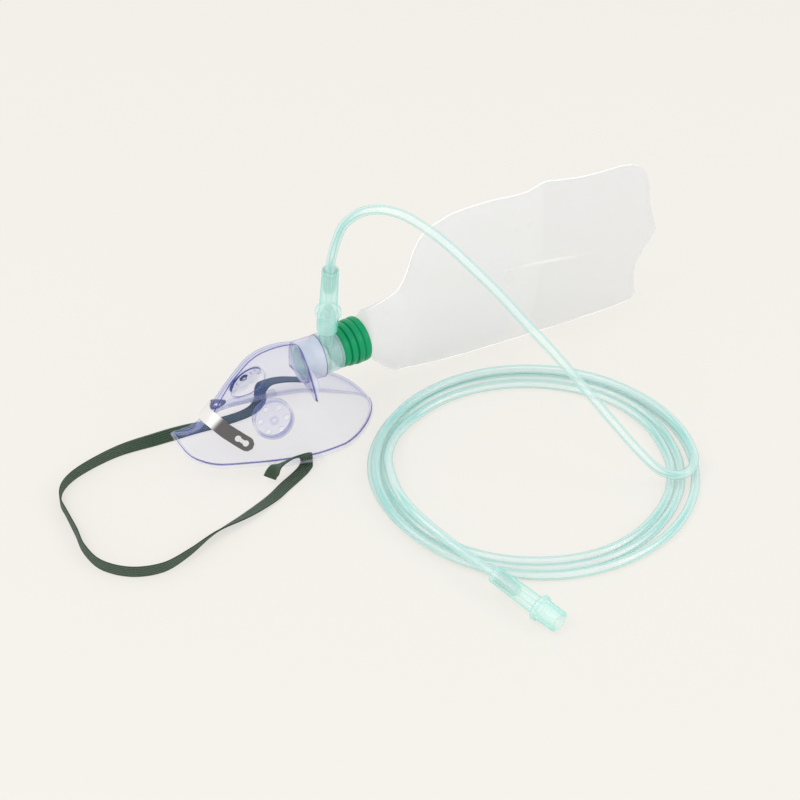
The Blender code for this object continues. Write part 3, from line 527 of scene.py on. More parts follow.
def tube_material(colour, edge):
    """Clear tubing: pale down its middle, a deeper line where its bore ends and at its sides."""
    mat = clear_material(
        "aqua tubing", colour, edge, 0.34, 0.9, roughness=0.07, power=2.4, depth=0.06
    )
    tree = mat.node_tree
    link = tree.links.new
    facing = next(n for n in tree.nodes if n.bl_idname == "ShaderNodeLayerWeight")
    shader = tree.nodes["Principled BSDF"]
    ramp = add(tree, "ShaderNodeValToRGB")
    stops = ((0.0, 0.0), (0.16, 0.0), (0.27, 0.75), (0.38, 0.2), (0.6, 0.35), (1.0, 1.0))
    bands = ramp.color_ramp.elements
    while len(bands) < len(stops):
        bands.new(0.5)
    for band, (spot, level) in zip(bands, stops):
        band.position = spot
        band.color = (level, level, level, 1.0)
    link(facing.outputs["Facing"], ramp.inputs["Fac"])
    blend = next(n for n in tree.nodes if n.bl_idname == "ShaderNodeMix")
    link(ramp.outputs["Color"], blend.inputs["Factor"])
    dense = next(n for n in tree.nodes if n.bl_idname == "ShaderNodeMapRange")
    link(ramp.outputs["Color"], dense.inputs["Value"])
    shader.inputs["Specular IOR Level"].default_value = 0.8
    return mat


def strap_material(colour, ribs):
    """Woven elastic: lengthwise ribs and a fine zigzag of threads, read off the band's own map."""
    mat, tree, shader, mottle = base_material(
        "ribbed elastic", colour, 0.85, depth=0.35, scale=900.0, spread=0.1
    )
    link = tree.links.new
    where = add(tree, "ShaderNodeUVMap", uv_map="run")
    split = add(tree, "ShaderNodeSeparateXYZ")
    link(where.outputs["UV"], split.inputs["Vector"])
    across = add(tree, "ShaderNodeMath", operation="MULTIPLY", in_1=math.pi * ribs)
    link(split.outputs["X"], across.inputs[0])
    rib = add(tree, "ShaderNodeMath", operation="SINE")
    link(across.outputs[0], rib.inputs[0])
    crest = add(tree, "ShaderNodeMath", operation="ABSOLUTE")
    link(rib.outputs[0], crest.inputs[0])
    along = add(tree, "ShaderNodeMath", operation="MULTIPLY", in_1=2 * math.pi / 1.1)
    link(split.outputs["Y"], along.inputs[0])
    shifted = add(tree, "ShaderNodeMath", operation="ADD")
    link(along.outputs[0], shifted.inputs[0])
    link(across.outputs[0], shifted.inputs[1])
    thread = add(tree, "ShaderNodeMath", operation="SINE")
    link(shifted.outputs[0], thread.inputs[0])
    weave = add(tree, "ShaderNodeMath", operation="MULTIPLY_ADD", in_1=0.18)
    link(thread.outputs[0], weave.inputs[0])
    link(crest.outputs[0], weave.inputs[2])
    lift = add(tree, "ShaderNodeBump", in_Strength=1.0, in_Distance=0.0006)
    link(weave.outputs[0], lift.inputs["Height"])
    link(lift.outputs["Normal"], shader.inputs["Normal"])
    blend = add(tree, "ShaderNodeMix", data_type="RGBA")
    # Painted shade: the band darkens to this colour in the grooves between its ribs and threads
    painted_groove_shade = tuple(0.35 * c for c in colour[:3]) + (1.0,)
    blend.inputs[6].default_value = painted_groove_shade
    link(mottle.outputs["Colour"], blend.inputs[7])
    level = add(tree, "ShaderNodeMapRange", in_1=-0.1, in_2=0.7)
    link(weave.outputs[0], level.inputs["Value"])
    link(level.outputs["Result"], blend.inputs["Factor"])
    link(blend.outputs[2], shader.inputs["Base Color"])
    shader.inputs["Sheen Weight"].default_value = 0.25
    shader.inputs["Sheen Roughness"].default_value = 0.5
    shader.inputs["Specular IOR Level"].default_value = 0.2
    return mat


def fading(tree, start, end, rising=False):
    """A soft step between two measures, falling from 1 to 0 or rising from 0 to 1."""
    levels = {"in_3": 0.0, "in_4": 1.0} if rising else {"in_3": 1.0, "in_4": 0.0}
    return add(
        tree, "ShaderNodeMapRange", interpolation_type="SMOOTHSTEP", in_1=start, in_2=end, **levels
    )


# Half widths, in metres, between which the painted highlight along the clip's bend over the nose
# fades
HIGHLIGHT_HALF_WIDTHS = (0.0075, 0.0105)


def metal_material(colour, bright):
    """Rolled aluminium with faint lines along the roll; painted highlight where it bends over the
    nose.
    """
    mat, tree, shader, mottle = base_material(
        "rolled aluminium", colour, 0.32, depth=0.25, scale=140.0, spread=0.2
    )
    shader.inputs["Metallic"].default_value = 1.0
    link = tree.links.new
    where = add(tree, "ShaderNodeTexCoord")
    split = add(tree, "ShaderNodeSeparateXYZ")
    link(where.outputs["Object"], split.inputs["Vector"])
    off = add(tree, "ShaderNodeMath", operation="SUBTRACT", in_1=-MASK_Y * MM)
    link(split.outputs["Y"], off.inputs[0])
    away = add(tree, "ShaderNodeMath", operation="ABSOLUTE")
    link(off.outputs[0], away.inputs[0])
    # Painted highlight: the metal's colour turns near white along the bend over the nose
    bend = fading(tree, *HIGHLIGHT_HALF_WIDTHS)
    link(away.outputs[0], bend.inputs["Value"])
    blend = add(tree, "ShaderNodeMix", data_type="RGBA")
    blend.inputs[7].default_value = bright
    link(bend.outputs["Result"], blend.inputs["Factor"])
    link(mottle.outputs["Colour"], blend.inputs[6])
    link(blend.outputs[2], shader.inputs["Base Color"])
    turn = add(tree, "ShaderNodeMapping", in_Scale=(1500.0, 120.0, 1500.0))
    lines = add(tree, "ShaderNodeTexNoise", in_Scale=1.0, in_Detail=2.0)
    link(where.outputs["Object"], turn.inputs["Vector"])
    link(turn.outputs["Vector"], lines.inputs["Vector"])
    lift = add(tree, "ShaderNodeBump", in_Strength=0.25, in_Distance=0.0001)
    link(lines.outputs["Fac"], lift.inputs["Height"])
    link(lift.outputs["Normal"], shader.inputs["Normal"])
    return mat


# ---- settings

COLOUR = {"subtype": "COLOR", "size": 3, "min": 0.0, "max": 1.0}
LENGTH = {"unit": "LENGTH", "subtype": "DISTANCE", "min": 0.0}


def tint(*rgb):
    """A setting's colour from a display colour given in 0 to 255."""
    return linear(rgb)[:3]


def opaque(colour):
    """A setting's colour with the alpha that sockets ask for."""
    return tuple(colour[:3]) + (1.0,)


def tint_of(colour, gain):
    """A colour made lighter or darker, for a socket."""
    return tuple(min(1.0, c * gain) for c in colour[:3]) + (1.0,)


class ShellSettings(PropertyGroup):
    """Sizes and colours of the clear face piece."""

    wall: FloatProperty(
        name="Wall", description="Thickness of the soft wall", default=0.0012, **LENGTH
    )
    flange: FloatProperty(
        name="Flange", description="Width of the rim's flange at the cheeks",
        default=0.0026, **LENGTH,
    )
    colour: FloatVectorProperty(
        name="Colour", description="Cast of the clear vinyl", default=tint(130, 150, 240), **COLOUR
    )
    edge: FloatVectorProperty(
        name="Edge", description="Colour of the vinyl seen edge on",
        default=tint(82, 84, 160), **COLOUR,
    )
    collar: FloatVectorProperty(
        name="Collar", description="Cast of the thicker collar",
        default=tint(228, 230, 250), **COLOUR,
    )
    rim: FloatVectorProperty(
        name="Rim", description="Colour held in the rolled rim", default=tint(84, 82, 176), **COLOUR
    )


class VentSettings(PropertyGroup):
    """Sizes of the two exhalation vents."""

    radius: FloatProperty(
        name="Radius", description="Radius of the vent's disc", default=0.0124, **LENGTH
    )
    holes: IntProperty(
        name="Holes", description="Number of holes in each disc", default=6, min=3, max=12
    )
    hole_radius: FloatProperty(
        name="Hole radius", description="Radius of each hole", default=0.00175, **LENGTH
    )
    hole_ring: FloatProperty(
        name="Hole ring", description="Radius of the ring of holes", default=0.008, **LENGTH
    )


class ClipSettings(PropertyGroup):
    """Looks of the nose clip."""

    colour: FloatVectorProperty(
        name="Colour", description="Colour of the bare metal", default=tint(112, 110, 113), **COLOUR
    )
    # Near-white colour of the painted highlight along the clip's bend over the nose
    bright: FloatVectorProperty(
        name="Bright", description="Colour of the metal at its polished bend",
        default=tint(250, 249, 250), **COLOUR,
    )


class StrapSettings(PropertyGroup):
    """Sizes and colour of the head strap."""

    width: FloatProperty(name="Width", description="Width of the band", default=0.008, **LENGTH)
    thickness: FloatProperty(
        name="Thickness", description="Thickness of the band", default=0.001, **LENGTH
    )
    ribs: IntProperty(name="Ribs", description="Ribs across the band", default=6, min=1, max=20)
    colour: FloatVectorProperty(
        name="Colour", description="Colour of the elastic", default=tint(62, 88, 66), **COLOUR
    )


class TeeSettings(PropertyGroup):
    """Sizes and colour of the clear tee between mask and bag."""

    plug: FloatProperty(
        name="Plug radius", description="Radius of the plug in the collar", default=0.0103, **LENGTH
    )
    barrel: FloatProperty(
        name="Barrel radius", description="Radius of the wide barrel", default=0.0129, **LENGTH
    )
    spigot: FloatProperty(
        name="Spigot radius", description="Radius inside the bag's neck", default=0.0106, **LENGTH
    )
    colour: FloatVectorProperty(
        name="Colour", description="Cast of the clear moulding",
        default=tint(205, 244, 240), **COLOUR,
    )
    edge: FloatVectorProperty(
        name="Edge", description="Colour of the moulding seen edge on",
        default=tint(110, 190, 182), **COLOUR,
    )


class RingSettings(PropertyGroup):
    """Sizes and colour of the green ring."""

    radius: FloatProperty(
        name="Radius", description="Radius of the ring's lands", default=0.0143, **LENGTH
    )
    lands: IntProperty(name="Lands", description="Lands along the ring", default=4, min=2, max=8)
    colour: FloatVectorProperty(
        name="Colour", description="Colour of the moulding", default=tint(0, 150, 98), **COLOUR
    )


class BagSettings(PropertyGroup):
    """Looks of the reservoir bag."""

    weld: FloatProperty(
        name="Weld", description="Width of the welded edge", default=0.0006, **LENGTH
    )
    crumple: FloatProperty(
        name="Crumple", description="Height of the film's soft waves", default=0.0004, **LENGTH
    )
    colour: FloatVectorProperty(
        name="Colour", description="Cast of the film", default=tint(235, 236, 239), **COLOUR
    )


class ConnectorSettings(PropertyGroup):
    """Looks of the two funnel connectors."""

    flutes: IntProperty(
        name="Flutes", description="Flutes around the socket", default=12, min=4, max=24
    )
    colour: FloatVectorProperty(
        name="Colour", description="Cast of the soft vinyl", default=tint(224, 255, 250), **COLOUR
    )
    edge: FloatVectorProperty(
        name="Edge", description="Colour of the vinyl seen edge on",
        default=tint(62, 218, 200), **COLOUR,
    )


class TubingSettings(PropertyGroup):
    """Size and colours of the supply tubing."""

    diameter: FloatProperty(
        name="Diameter", description="Outside diameter of the tubing", default=0.0056, **LENGTH
    )
    colour: FloatVectorProperty(
        name="Colour", description="Cast of the tubing", default=tint(236, 251, 248), **COLOUR
    )
    edge: FloatVectorProperty(
        name="Edge", description="Colour at the tubing's sides",
        default=tint(98, 204, 196), **COLOUR,
    )


class StageSettings(PropertyGroup):
    """Floor, light and camera."""

    floor: FloatVectorProperty(
        name="Floor", description="Colour of the floor and backdrop",
        default=tint(245, 242, 236), **COLOUR,
    )
    even: FloatProperty(
        name="Even", description="Share of the floor's light that is even",
        default=0.7, min=0.0, max=1.0,
    )
    sky: FloatProperty(
        name="Sky", description="Strength of the even light", default=0.86, min=0.0, max=2.0
    )
    lens: FloatProperty(
        name="Lens", description="Focal length of the camera", default=100.0, min=20.0, max=300.0
    )


# ---- cord


CONNECTOR_LENGTH = 48.6
CUFF_START = 21.3
SOCKET_DEPTH = 17.5
PORT_Z = 51.3
STEM_X = -47.8
STEM_TILT = math.radians(8.0)
STEM_FOOT = np.array([STEM_X, 0.0, PORT_Z])
STEM_AXIS = np.array([0.0, -math.sin(STEM_TILT), math.cos(STEM_TILT)])
SUPPLY_OPEN = np.array([-12.6, -224.0, 8.1])
SUPPLY_AXIS = unit([-0.325, 0.942, 0.082])

LEAD_ROUTE = [
    (-45.4, -12.0, 139.7),
    (-42.4, -15.0, 152.0),
    (-38.4, -19.2, 160.2),
    (-33.2, -24.5, 166.4),
    (-26.3, -31.6, 170.0),
    (-20.0, -38.1, 170.2),
    (-13.2, -45.0, 167.6),
    (-1.3, -57.2, 158.2),
    (11.3, -70.1, 143.5),
    (24.8, -83.9, 126.0),
    (34.2, -93.5, 112.2),
    (44.1, -103.7, 98.1),
    (53.9, -113.7, 83.3),
    (67.1, -127.2, 62.0),
    (79.6, -140.0, 42.1),
    (87.8, -147.9, 30.2),
    (94.2, -152.5, 22.2),
    (101.5, -154.9, 16.4),
    (109.2, -155.1, 12.6),
    (116.6, -153.1, 10.2),
    (123.1, -148.9, 9.1),
    (128.0, -143.1, 8.6),
]
COIL_CENTRE = (40.5, -101.5)
COIL_TURN = -27.0
# Turns of the coil: degrees from the picture's right, radius and height of the tubing's middle
COIL_ROUTE = [
    (5, 97.2, 8.4),
    (45, 94.8, 7.9),
    (90, 94.3, 7.7),
    (135, 94.3, 7.7),
    (180, 94.3, 7.7),
    (205, 95.4, 6.6),
    (240, 96.6, 5.0),
    (270, 97.0, 3.0),
    (315, 97.2, 2.8),
    (360, 97.2, 2.8),
    (450, 97.2, 2.8),
    (540, 97.2, 2.8),
    (562, 94.6, 2.8),
    (600, 91.4, 2.8),
    (630, 91.0, 2.8),
    (660, 90.8, 2.8),
    (690, 88.5, 2.8),
    (735, 88.5, 2.8),
    (770, 91.3, 2.8),
    (810, 91.5, 2.8),
    (895, 91.2, 2.8),
    (925, 87.6, 2.8),
    (990, 85.2, 2.8),
    (1020, 85.0, 2.8),
    (1050, 82.7, 2.8),
    (1095, 82.7, 2.8),
    (1130, 85.6, 2.8),
    (1170, 85.8, 2.8),
    (1225, 86.4, 3.6),
    (1250, 87.4, 7.2),
]
TAIL_ROUTE = [
    (-35.4, -58.9, 8.5),
    (-42.0, -77.0, 10.2),
    (-45.2, -92.0, 11.6),
    (-45.6, -107.0, 11.95),
    (-43.6, -121.5, 11.95),
    (-40.2, -136.5, 11.95),
    (-36.6, -151.5, 12.0),
]
COIL_STEP = 10.0
# How much nearer its centre the coil lies at the picture's top and bottom than at its sides
COIL_OVAL = 5.5


def coil_points():
    """The coil's points, one at each step of the angle."""
    marks = [row[0] for row in COIL_ROUTE]
    out = []
    for phi in np.arange(marks[0], marks[-1] + 0.1, COIL_STEP):
        r = np.interp(phi, marks, [row[1] for row in COIL_ROUTE])
        z = np.interp(phi, marks, [row[2] for row in COIL_ROUTE])
        r -= COIL_OVAL * math.sin(math.radians(phi)) ** 2
        a = math.radians(phi + COIL_TURN)
        out.append((COIL_CENTRE[0] + r * math.cos(a), COIL_CENTRE[1] + r * math.sin(a), z))
    return out


def tubing_line():
    """The tubing's middle line from inside the inlet connector to inside the supply one."""
    top = CUFF_START + CONNECTOR_LENGTH
    depths = (top - SOCKET_DEPTH + 0.4, top - 4, top + 6)
    first = [tuple(STEM_FOOT + STEM_AXIS * s) for s in depths]
    tip = SUPPLY_OPEN + SUPPLY_AXIS * CONNECTOR_LENGTH
    last = [tuple(tip + SUPPLY_AXIS * s) for s in (5, -6, 0.4 - SOCKET_DEPTH)]
    keys = first + LEAD_ROUTE + coil_points() + TAIL_ROUTE + last
    line = smooth_rows(keys, 6)
    length = run_lengths(line)[-1]
    return evenly(line, int(length / 2.0)), length * MM


# ---- shell

# Stations of the dome: x, half width at the rim, rim height, crest height,
# half width higher up, roundness and lean
FRONT_X = -66.5
FRONT_SHEAR = 0.12
FRONT_FOLD_Z = 34.0
CHIN_TOP_Z = 36.5
SHEAR_Z = 62.7
FLARE = 6.5
NOSE_POINT = (-148.2, 0.0, 23.7)
CHIN_POINT = (-19.0, 0.0, 5.1)
DOME = [
    (-147.7, 5.6, 22.4, 24.3, 4.2, 2.0, 0.0),
    (-146.0, 11.5, 19.9, 24.7, 6.5, 1.9, 0.0),
    (-143.0, 16.8, 17.9, 25.4, 8.0, 1.8, 0.0),
    (-136.5, 21.7, 15.4, 27.2, 9.4, 1.8, 0.0),
    (-130.0, 24.1, 13.4, 29.5, 10.8, 1.85, 0.0),
    (-124.0, 25.4, 12.2, 35.1, 12.6, 1.9, 0.0),
    (-117.0, 26.6, 11.0, 43.7, 15.0, 1.95, 0.0),
    (-110.5, 27.8, 10.0, 51.3, 17.0, 2.0, 0.0),
    (-104.5, 28.8, 9.0, 57.4, 18.6, 2.05, 0.0),
    (-98.0, 29.7, 8.0, 63.2, 20.0, 2.1, 0.0),
    (-91.5, 30.4, 6.9, 66.3, 21.0, 2.15, 0.0),
    (-85.0, 31.0, 5.9, 67.4, 21.6, 2.2, 0.0),
    (-78.5, 31.4, 4.8, 67.5, 21.6, 2.2, 0.03),
    (-72.5, 31.4, 3.7, 66.7, 21.2, 2.2, 0.07),
    (FRONT_X, 30.6, 2.8, 65.1, 20.6, 2.2, FRONT_SHEAR),
]
CHIN = [
    (-56.5, 29.4, 2.0, 35.9, 20.2, 3.0, 0.07),
    (-50.5, 28.4, 1.5, 34.0, 19.6, 2.8, 0.03),
    (-45.0, 26.9, 1.2, 31.9, 18.6, 2.6, 0.0),
    (-39.5, 24.3, 1.2, 29.0, 17.0, 2.5, 0.0),
    (-34.0, 20.7, 1.3, 25.0, 14.7, 2.4, 0.0),
    (-28.8, 16.6, 1.8, 19.9, 11.8, 2.3, 0.0),
    (-24.4, 12.2, 2.7, 14.2, 8.8, 2.2, 0.0),
    (-21.4, 8.2, 3.6, 9.7, 6.0, 2.1, 0.0),
    (-19.6, 4.4, 4.5, 6.6, 3.4, 2.0, 0.0),
]
# Share of the half width that the far side keeps beside the nose, where the shell is pressed in
FAR_TUCK = [
    (-148.0, 1.0),
    (-146.0, 0.76),
    (-143.0, 0.54),
    (-136.5, 0.44),
    (-130.0, 0.50),
    (-124.0, 0.68),
    (-117.0, 0.85),
    (-110.5, 1.0),
]
SHELL_ACROSS = 96
SHELL_STEPS = 4
FRONT_STEPS = 10
COLLAR_BORE = 11.3
COLLAR_R = 13.3
COLLAR_ROOT_X = -66.6
COLLAR_LIP_X = -52.8
VENT_CENTRE = (-92.5, 20.4, 31.6)
VENT_NORMAL = (-0.19, 0.91, 0.355)
VENT_DEPTH = 4.4


def shell_arch(row):
    """One section of the shell's outside, from the near rim over the crest to the far rim."""
    x, w, zr, zt, ws, n, lean = row
    rise = zt - zr
    share = float(np.interp(x, *zip(*FAR_TUCK)))
    dense = []
    for k in range(721):
        a = math.pi * k / 720
        c, s = math.cos(a), math.sin(a)
        u = abs(s) ** (2 / n)
        rim, body = (w, ws) if c > 0 else (w * share, min(ws, 0.85 * w * share))
        y = body * abs(c) ** (2 / n)
        if abs(c) > 1e-9 and u <= 0.999:
            y += (rim - body) * math.exp(-u * rise / FLARE)
        z = zr + rise * u
        dense.append((x + max(lean, 0.0) * (SHEAR_Z - z), -math.copysign(y, c), z))
    return evenly(dense, SHELL_ACROSS)


def shell_rows():
    """Rows of the dome, of the flat front under the port, and of the chin."""
    dome = [shell_arch(r) for r in smooth_rows(DOME, SHELL_STEPS)]
    front = dome[-1].copy()
    low = max(j for j in range(SHELL_ACROSS // 2) if front[j][2] < FRONT_FOLD_Z)
    y0, z0 = abs(front[low][1]), front[low][2]
    inner = SHELL_ACROSS - 1 - 2 * low
    for k in range(1, inner):
        a = math.pi * k / inner
        c, s = math.cos(a), math.sin(a)
        z = z0 + (CHIN_TOP_Z - z0) * abs(s) ** (2 / 2.3)
        y = y0 * abs(c) ** (2 / 2.3)
        front[low + k] = (FRONT_X + FRONT_SHEAR * (SHEAR_Z - z), -math.copysign(y, c), z)
    face = [dome[-1] + (front - dome[-1]) * t for t in np.linspace(0, 1, FRONT_STEPS + 1)[1:]]
    keys = np.array([front] + [shell_arch(r) for r in CHIN]).reshape(len(CHIN) + 1, -1)
    chin = smooth_rows(keys, SHELL_STEPS).reshape(-1, SHELL_ACROSS, 3)[1:]
    return dome, face, list(chin)


# Lines of denser vinyl: the least step between the rim's points, the bead's lift over the rim,
# how far the crease stands off the fold, the lines' radii, and the share of a line's length over
# which it thins out and its radius at the tip
RIM_GAP = 0.7
BEAD_LIFT = 0.35
CREASE_OFF = (0.1, -0.25, 0.1)
BEAD_R = 0.5
CREASE_R = 0.55
CREST_R = 0.38
LINE_TAPER = 0.12
LINE_TIP = 0.35
LINE_TURNS = 8
# Blade in front of the crease: its reach, thickness either way and half width at its ends
BLADE_REACH = 3.6
BLADE_HALF = 0.3
BLADE_TIP = 0.15
BLADE_TURNS = 12


def rim_line(dome, face, chin):
    """The rim's closed line, nose first, then the near side, the chin and the far side."""
    rows = dome + face + chin
    near = [row[0] for row in rows]
    far = [row[-1] for row in rows]
    return spaced([np.array(NOSE_POINT)] + near + [np.array(CHIN_POINT)] + far[::-1], RIM_GAP)


def outward(loop, i):
    """The level direction that points away from the mask at a point of the rim."""
    t = loop[(i + 1) % len(loop)] - loop[i - 1]
    out = np.array([t[1], -t[0], 0.0])
    out /= np.linalg.norm(out)
    middle = np.array([-84.0, 0.0, 0.0])
    flat = loop[i] * np.array([1, 1, 0]) - middle
    return out if out @ flat > 0 else -out


def vent_place(side):
    """Middle and outward direction of the vent on the near side, -1, or the far side, 1."""
    centre = Vector((VENT_CENTRE[0], side * VENT_CENTRE[1], VENT_CENTRE[2]))
    normal = Vector((VENT_NORMAL[0], side * VENT_NORMAL[1], VENT_NORMAL[2])).normalized()
    return centre, normal


def rim_piece(loop, flange, mat):
    """The rolled bead along the rim with the flat flange outside it."""
    rings = []
    for i, p in enumerate(loop):
        out = outward(loop, i)
        share = min(1.0, (p[0] - NOSE_POINT[0]) / 22.0, (CHIN_POINT[0] - p[0]) / 36.0)
        width = 1.0 + (flange - 1.0) * max(0.0, share)
        section = []
        for o, dz in (
            (-1.2, -1.1),
            (-0.4, -1.25),
            (width - 0.5, -1.1),
            (width - 0.1, -0.9),
            (width, -0.6),
            (width - 0.15, -0.3),
            (width - 0.5, -0.15),
            (0.35, -0.05),
            (-0.2, 0.5),
            (-0.9, 0.7),
            (-1.35, 0.2),
        ):
            section.append(p + out * o + np.array([0, 0, dz]))
        rings.append(section)
    return swept("mask_rim", rings, mat, closed=True, sharp=60)


def near_rim(dome, face, chin):
    """The rim's line on the near side, from the tip of the nose to the chin."""
    near = [row[0] for row in dome + face + chin]
    line = spaced([np.array(NOSE_POINT)] + near + [np.array(CHIN_POINT)], RIM_GAP)
    return line + np.array([0, 0, BEAD_LIFT])


def crest_line(dome):
    """The parting line of the moulding along the crest, from the nose to the front."""
    half = SHELL_ACROSS // 2
    return np.array([(row[half - 1] + row[half]) / 2 for row in dome[6:]])


def line_piece(name, line, radius, mat):
    """A thin round line of denser vinyl along a row of points, tapered at both ends."""
    rings = []
    for i, p in enumerate(line):
        t = unit(line[min(i + 1, len(line) - 1)] - line[max(i - 1, 0)])
        u = unit(np.cross(t, [0.3, 0.2, 1.0]))
        v = np.cross(t, u)
        end = min(i, len(line) - 1 - i) / (LINE_TAPER * len(line))
        r = radius * (LINE_TIP + (1 - LINE_TIP) * min(1.0, end))
        turns = [2 * math.pi * k / LINE_TURNS for k in range(LINE_TURNS)]
        rings.append([p + (u * math.cos(a) + v * math.sin(a)) * r for a in turns])
    return swept(name, rings, mat, sharp=None)


def blade_piece(name, line, reach, mat):
    """A lens-shaped blade of vinyl that stands forward of a line and runs out at both its ends."""
    rings = []
    for i, p in enumerate(line):
        t = i / (len(line) - 1)
        half = BLADE_TIP + reach / 2 * math.sin(math.pi * t) ** 1.3
        middle = p + np.array([half, 0.0, 0.0])
        ring = []
        for k in range(BLADE_TURNS):
            a = 2 * math.pi * k / BLADE_TURNS
            ring.append(middle + np.array([half * math.cos(a), BLADE_HALF * math.sin(a), 0.0]))
        rings.append(ring)
    return swept(name, rings, mat, sharp=None)


# Strap tab on the far side: the ends of its root along the rim, its slot's middle, half length
# and half width of plate and slot, how far the plate reaches under the rim, and its lower and
# upper face below the rim
TAB_BACK = (-101.0, 29.3, 8.6)
TAB_FRONT = (-67.0, 31.2, 3.9)
TAB_SLOT = (-78.0, 34.2, 4.67)
TAB_HALF = (17.0, 3.3)
TAB_ROOT = 0.8
SLOT_HALF = (4.6, 0.85)
TAB_FACES = (-1.4, -0.1)
TAB_TURNS = 48


def tab_piece(side, mat):
    """A strap tab: a rounded plate with a long slot, standing out from the rim."""
    a, b, slot = (np.array([x, side * y, z]) for x, y, z in (TAB_BACK, TAB_FRONT, TAB_SLOT))
    along = unit(b - a)
    out = np.array([0.0, float(side), 0.0])
    up = np.cross(along, out) * (1 if np.cross(along, out)[2] > 0 else -1)
    mid = (a + b) / 2 + out * (TAB_HALF[1] - TAB_ROOT)
    off = np.array([(slot - mid) @ along, (slot - mid) @ out])
    turns = TAB_TURNS
    verts, faces = [], []
    for lift in TAB_FACES:
        for half, c in ((TAB_HALF, (0, 0)), (SLOT_HALF, off)):
            for k in range(turns):
                t = 2 * math.pi * k / turns
                px = math.copysign(abs(math.cos(t)) ** 0.35, math.cos(t)) * half[0]
                py = math.copysign(abs(math.sin(t)) ** 0.35, math.sin(t)) * half[1]
                verts.append(at(mid + along * (px + c[0]) + out * (py + c[1]) + up * lift))
    o0, i0, o1, i1 = 0, turns, 2 * turns, 3 * turns
    for k in range(turns):
        n = (k + 1) % turns
        faces += [(o0 + k, o0 + n, o1 + n, o1 + k), (i0 + k, i1 + k, i1 + n, i0 + n)]
        faces += [(o1 + k, o1 + n, i1 + n, i1 + k), (o0 + k, i0 + k, i0 + n, o0 + n)]
    return piece("strap_tab", verts, faces, mat, sharp=50)


# ---- stage

# What the lit share of the floor is dimmed by, so that floor and backdrop come out alike
LIT_SHARE = 0.87
FLOOR_HALF = 6.0
FLOOR_DROP = 0.0002
# Soft lamps: name, place, side and power
LAMPS = (
    ("key softbox", (-0.9, -0.2, 1.5), 0.8, 8.0),
    ("side softbox", (0.9, -1.0, 1.0), 0.6, 4.0),
)
LAMPS_AIM = (0.0, 0.0, 0.03)
# The camera looks at a point in the mask's measures, from this far back along this direction
CAMERA_AIM = (0.0, -5.0, 0.0)
CAMERA_BACK = (-0.3478, -0.6825, 0.6428)
CAMERA_AWAY = 1.389


def floor_material(colour, even):
    """Matt floor; to the camera, a share of its colour comes as plain light, the rest is lit."""
    mat = bpy.data.materials.new("pale floor")
    mat.use_nodes = True
    tree = mat.node_tree
    shader = tree.nodes["Principled BSDF"]
    shader.inputs["Base Color"].default_value = colour
    shader.inputs["Roughness"].default_value = 1.0
    shader.inputs["Specular IOR Level"].default_value = 0.0
    seen = seen_rays(tree)
    lit = add(tree, "ShaderNodeMix", data_type="RGBA")
    lit.inputs[6].default_value = colour
    lit.inputs[7].default_value = tint_of(colour, (1 - even) * LIT_SHARE)
    glow = add(tree, "ShaderNodeMath", operation="MULTIPLY", in_1=even)
    shader.inputs["Emission Color"].default_value = colour
    tree.links.new(seen, lit.inputs["Factor"])
    tree.links.new(lit.outputs[2], shader.inputs["Base Color"])
    tree.links.new(seen, glow.inputs[0])
    tree.links.new(glow.outputs[0], shader.inputs["Emission Strength"])
    return mat


def seen_rays(tree):
    """1 for rays from the camera, straight or by way of gloss and glass, and 0 for others."""
    path = add(tree, "ShaderNodeLightPath")
    both = add(tree, "ShaderNodeMath", operation="MAXIMUM")
    every = add(tree, "ShaderNodeMath", operation="MAXIMUM")
    tree.links.new(path.outputs["Is Camera Ray"], both.inputs[0])
    tree.links.new(path.outputs["Is Glossy Ray"], both.inputs[1])
    tree.links.new(both.outputs[0], every.inputs[0])
    tree.links.new(path.outputs["Is Transmission Ray"], every.inputs[1])
    return every.outputs[0]


class OXYMASK_OT_stage(Operator):
    """Floor, soft light and the camera at the photograph's angle"""

    bl_idname = "oxymask.stage"
    bl_label = "Floor, light and camera"

    def execute(self, context):
        s = context.scene.oxymask_stage
        scene = context.scene
        mesh = bpy.data.meshes.new("floor")
        signs = ((-1, -1), (1, -1), (1, 1), (-1, 1))
        corners = [(x * FLOOR_HALF, y * FLOOR_HALF, -FLOOR_DROP) for x, y in signs]
        mesh.from_pydata(corners, [], [(0, 1, 2, 3)])
        floor = bpy.data.objects.new("floor", mesh)
        scene.collection.objects.link(floor)
        mesh.materials.append(floor_material(opaque(s.floor), s.even))
        world = bpy.data.worlds.new("studio")
        world.use_nodes = True
        scene.world = world
        tree = world.node_tree
        tree.nodes.clear()
        seen = add(tree, "ShaderNodeBackground", in_Color=opaque(s.floor), in_Strength=1.0)
        lit = add(tree, "ShaderNodeBackground", in_Color=(1, 1, 1, 1), in_Strength=s.sky)
        pick = add(tree, "ShaderNodeMixShader")
        out = add(tree, "ShaderNodeOutputWorld")
        tree.links.new(seen_rays(tree), pick.inputs["Fac"])
        tree.links.new(lit.outputs[0], pick.inputs[1])
        tree.links.new(seen.outputs[0], pick.inputs[2])
        tree.links.new(pick.outputs[0], out.inputs["Surface"])
        middle = Vector(LAMPS_AIM)
        for name, place, side, power in LAMPS:
            light = bpy.data.lights.new(name, "AREA")
            light.shape = "SQUARE"
            light.size = side
            light.energy = power
            lamp = bpy.data.objects.new(name, light)
            lamp.location = place
            lamp.rotation_euler = (middle - Vector(place)).to_track_quat("-Z", "Y").to_euler()
            scene.collection.objects.link(lamp)
        cam = bpy.data.cameras.new("camera")
        cam.lens = s.lens
        cam.sensor_width = 36.0
        view = bpy.data.objects.new("camera", cam)
        back = Vector(CAMERA_BACK)
        view.location = at(CAMERA_AIM) + back * CAMERA_AWAY
        view.rotation_euler = (-back).to_track_quat("-Z", "Y").to_euler()
        scene.collection.objects.link(view)
        scene.camera = view
        scene.view_settings.view_transform = "Standard"
        return {"FINISHED"}


# ---- pieces


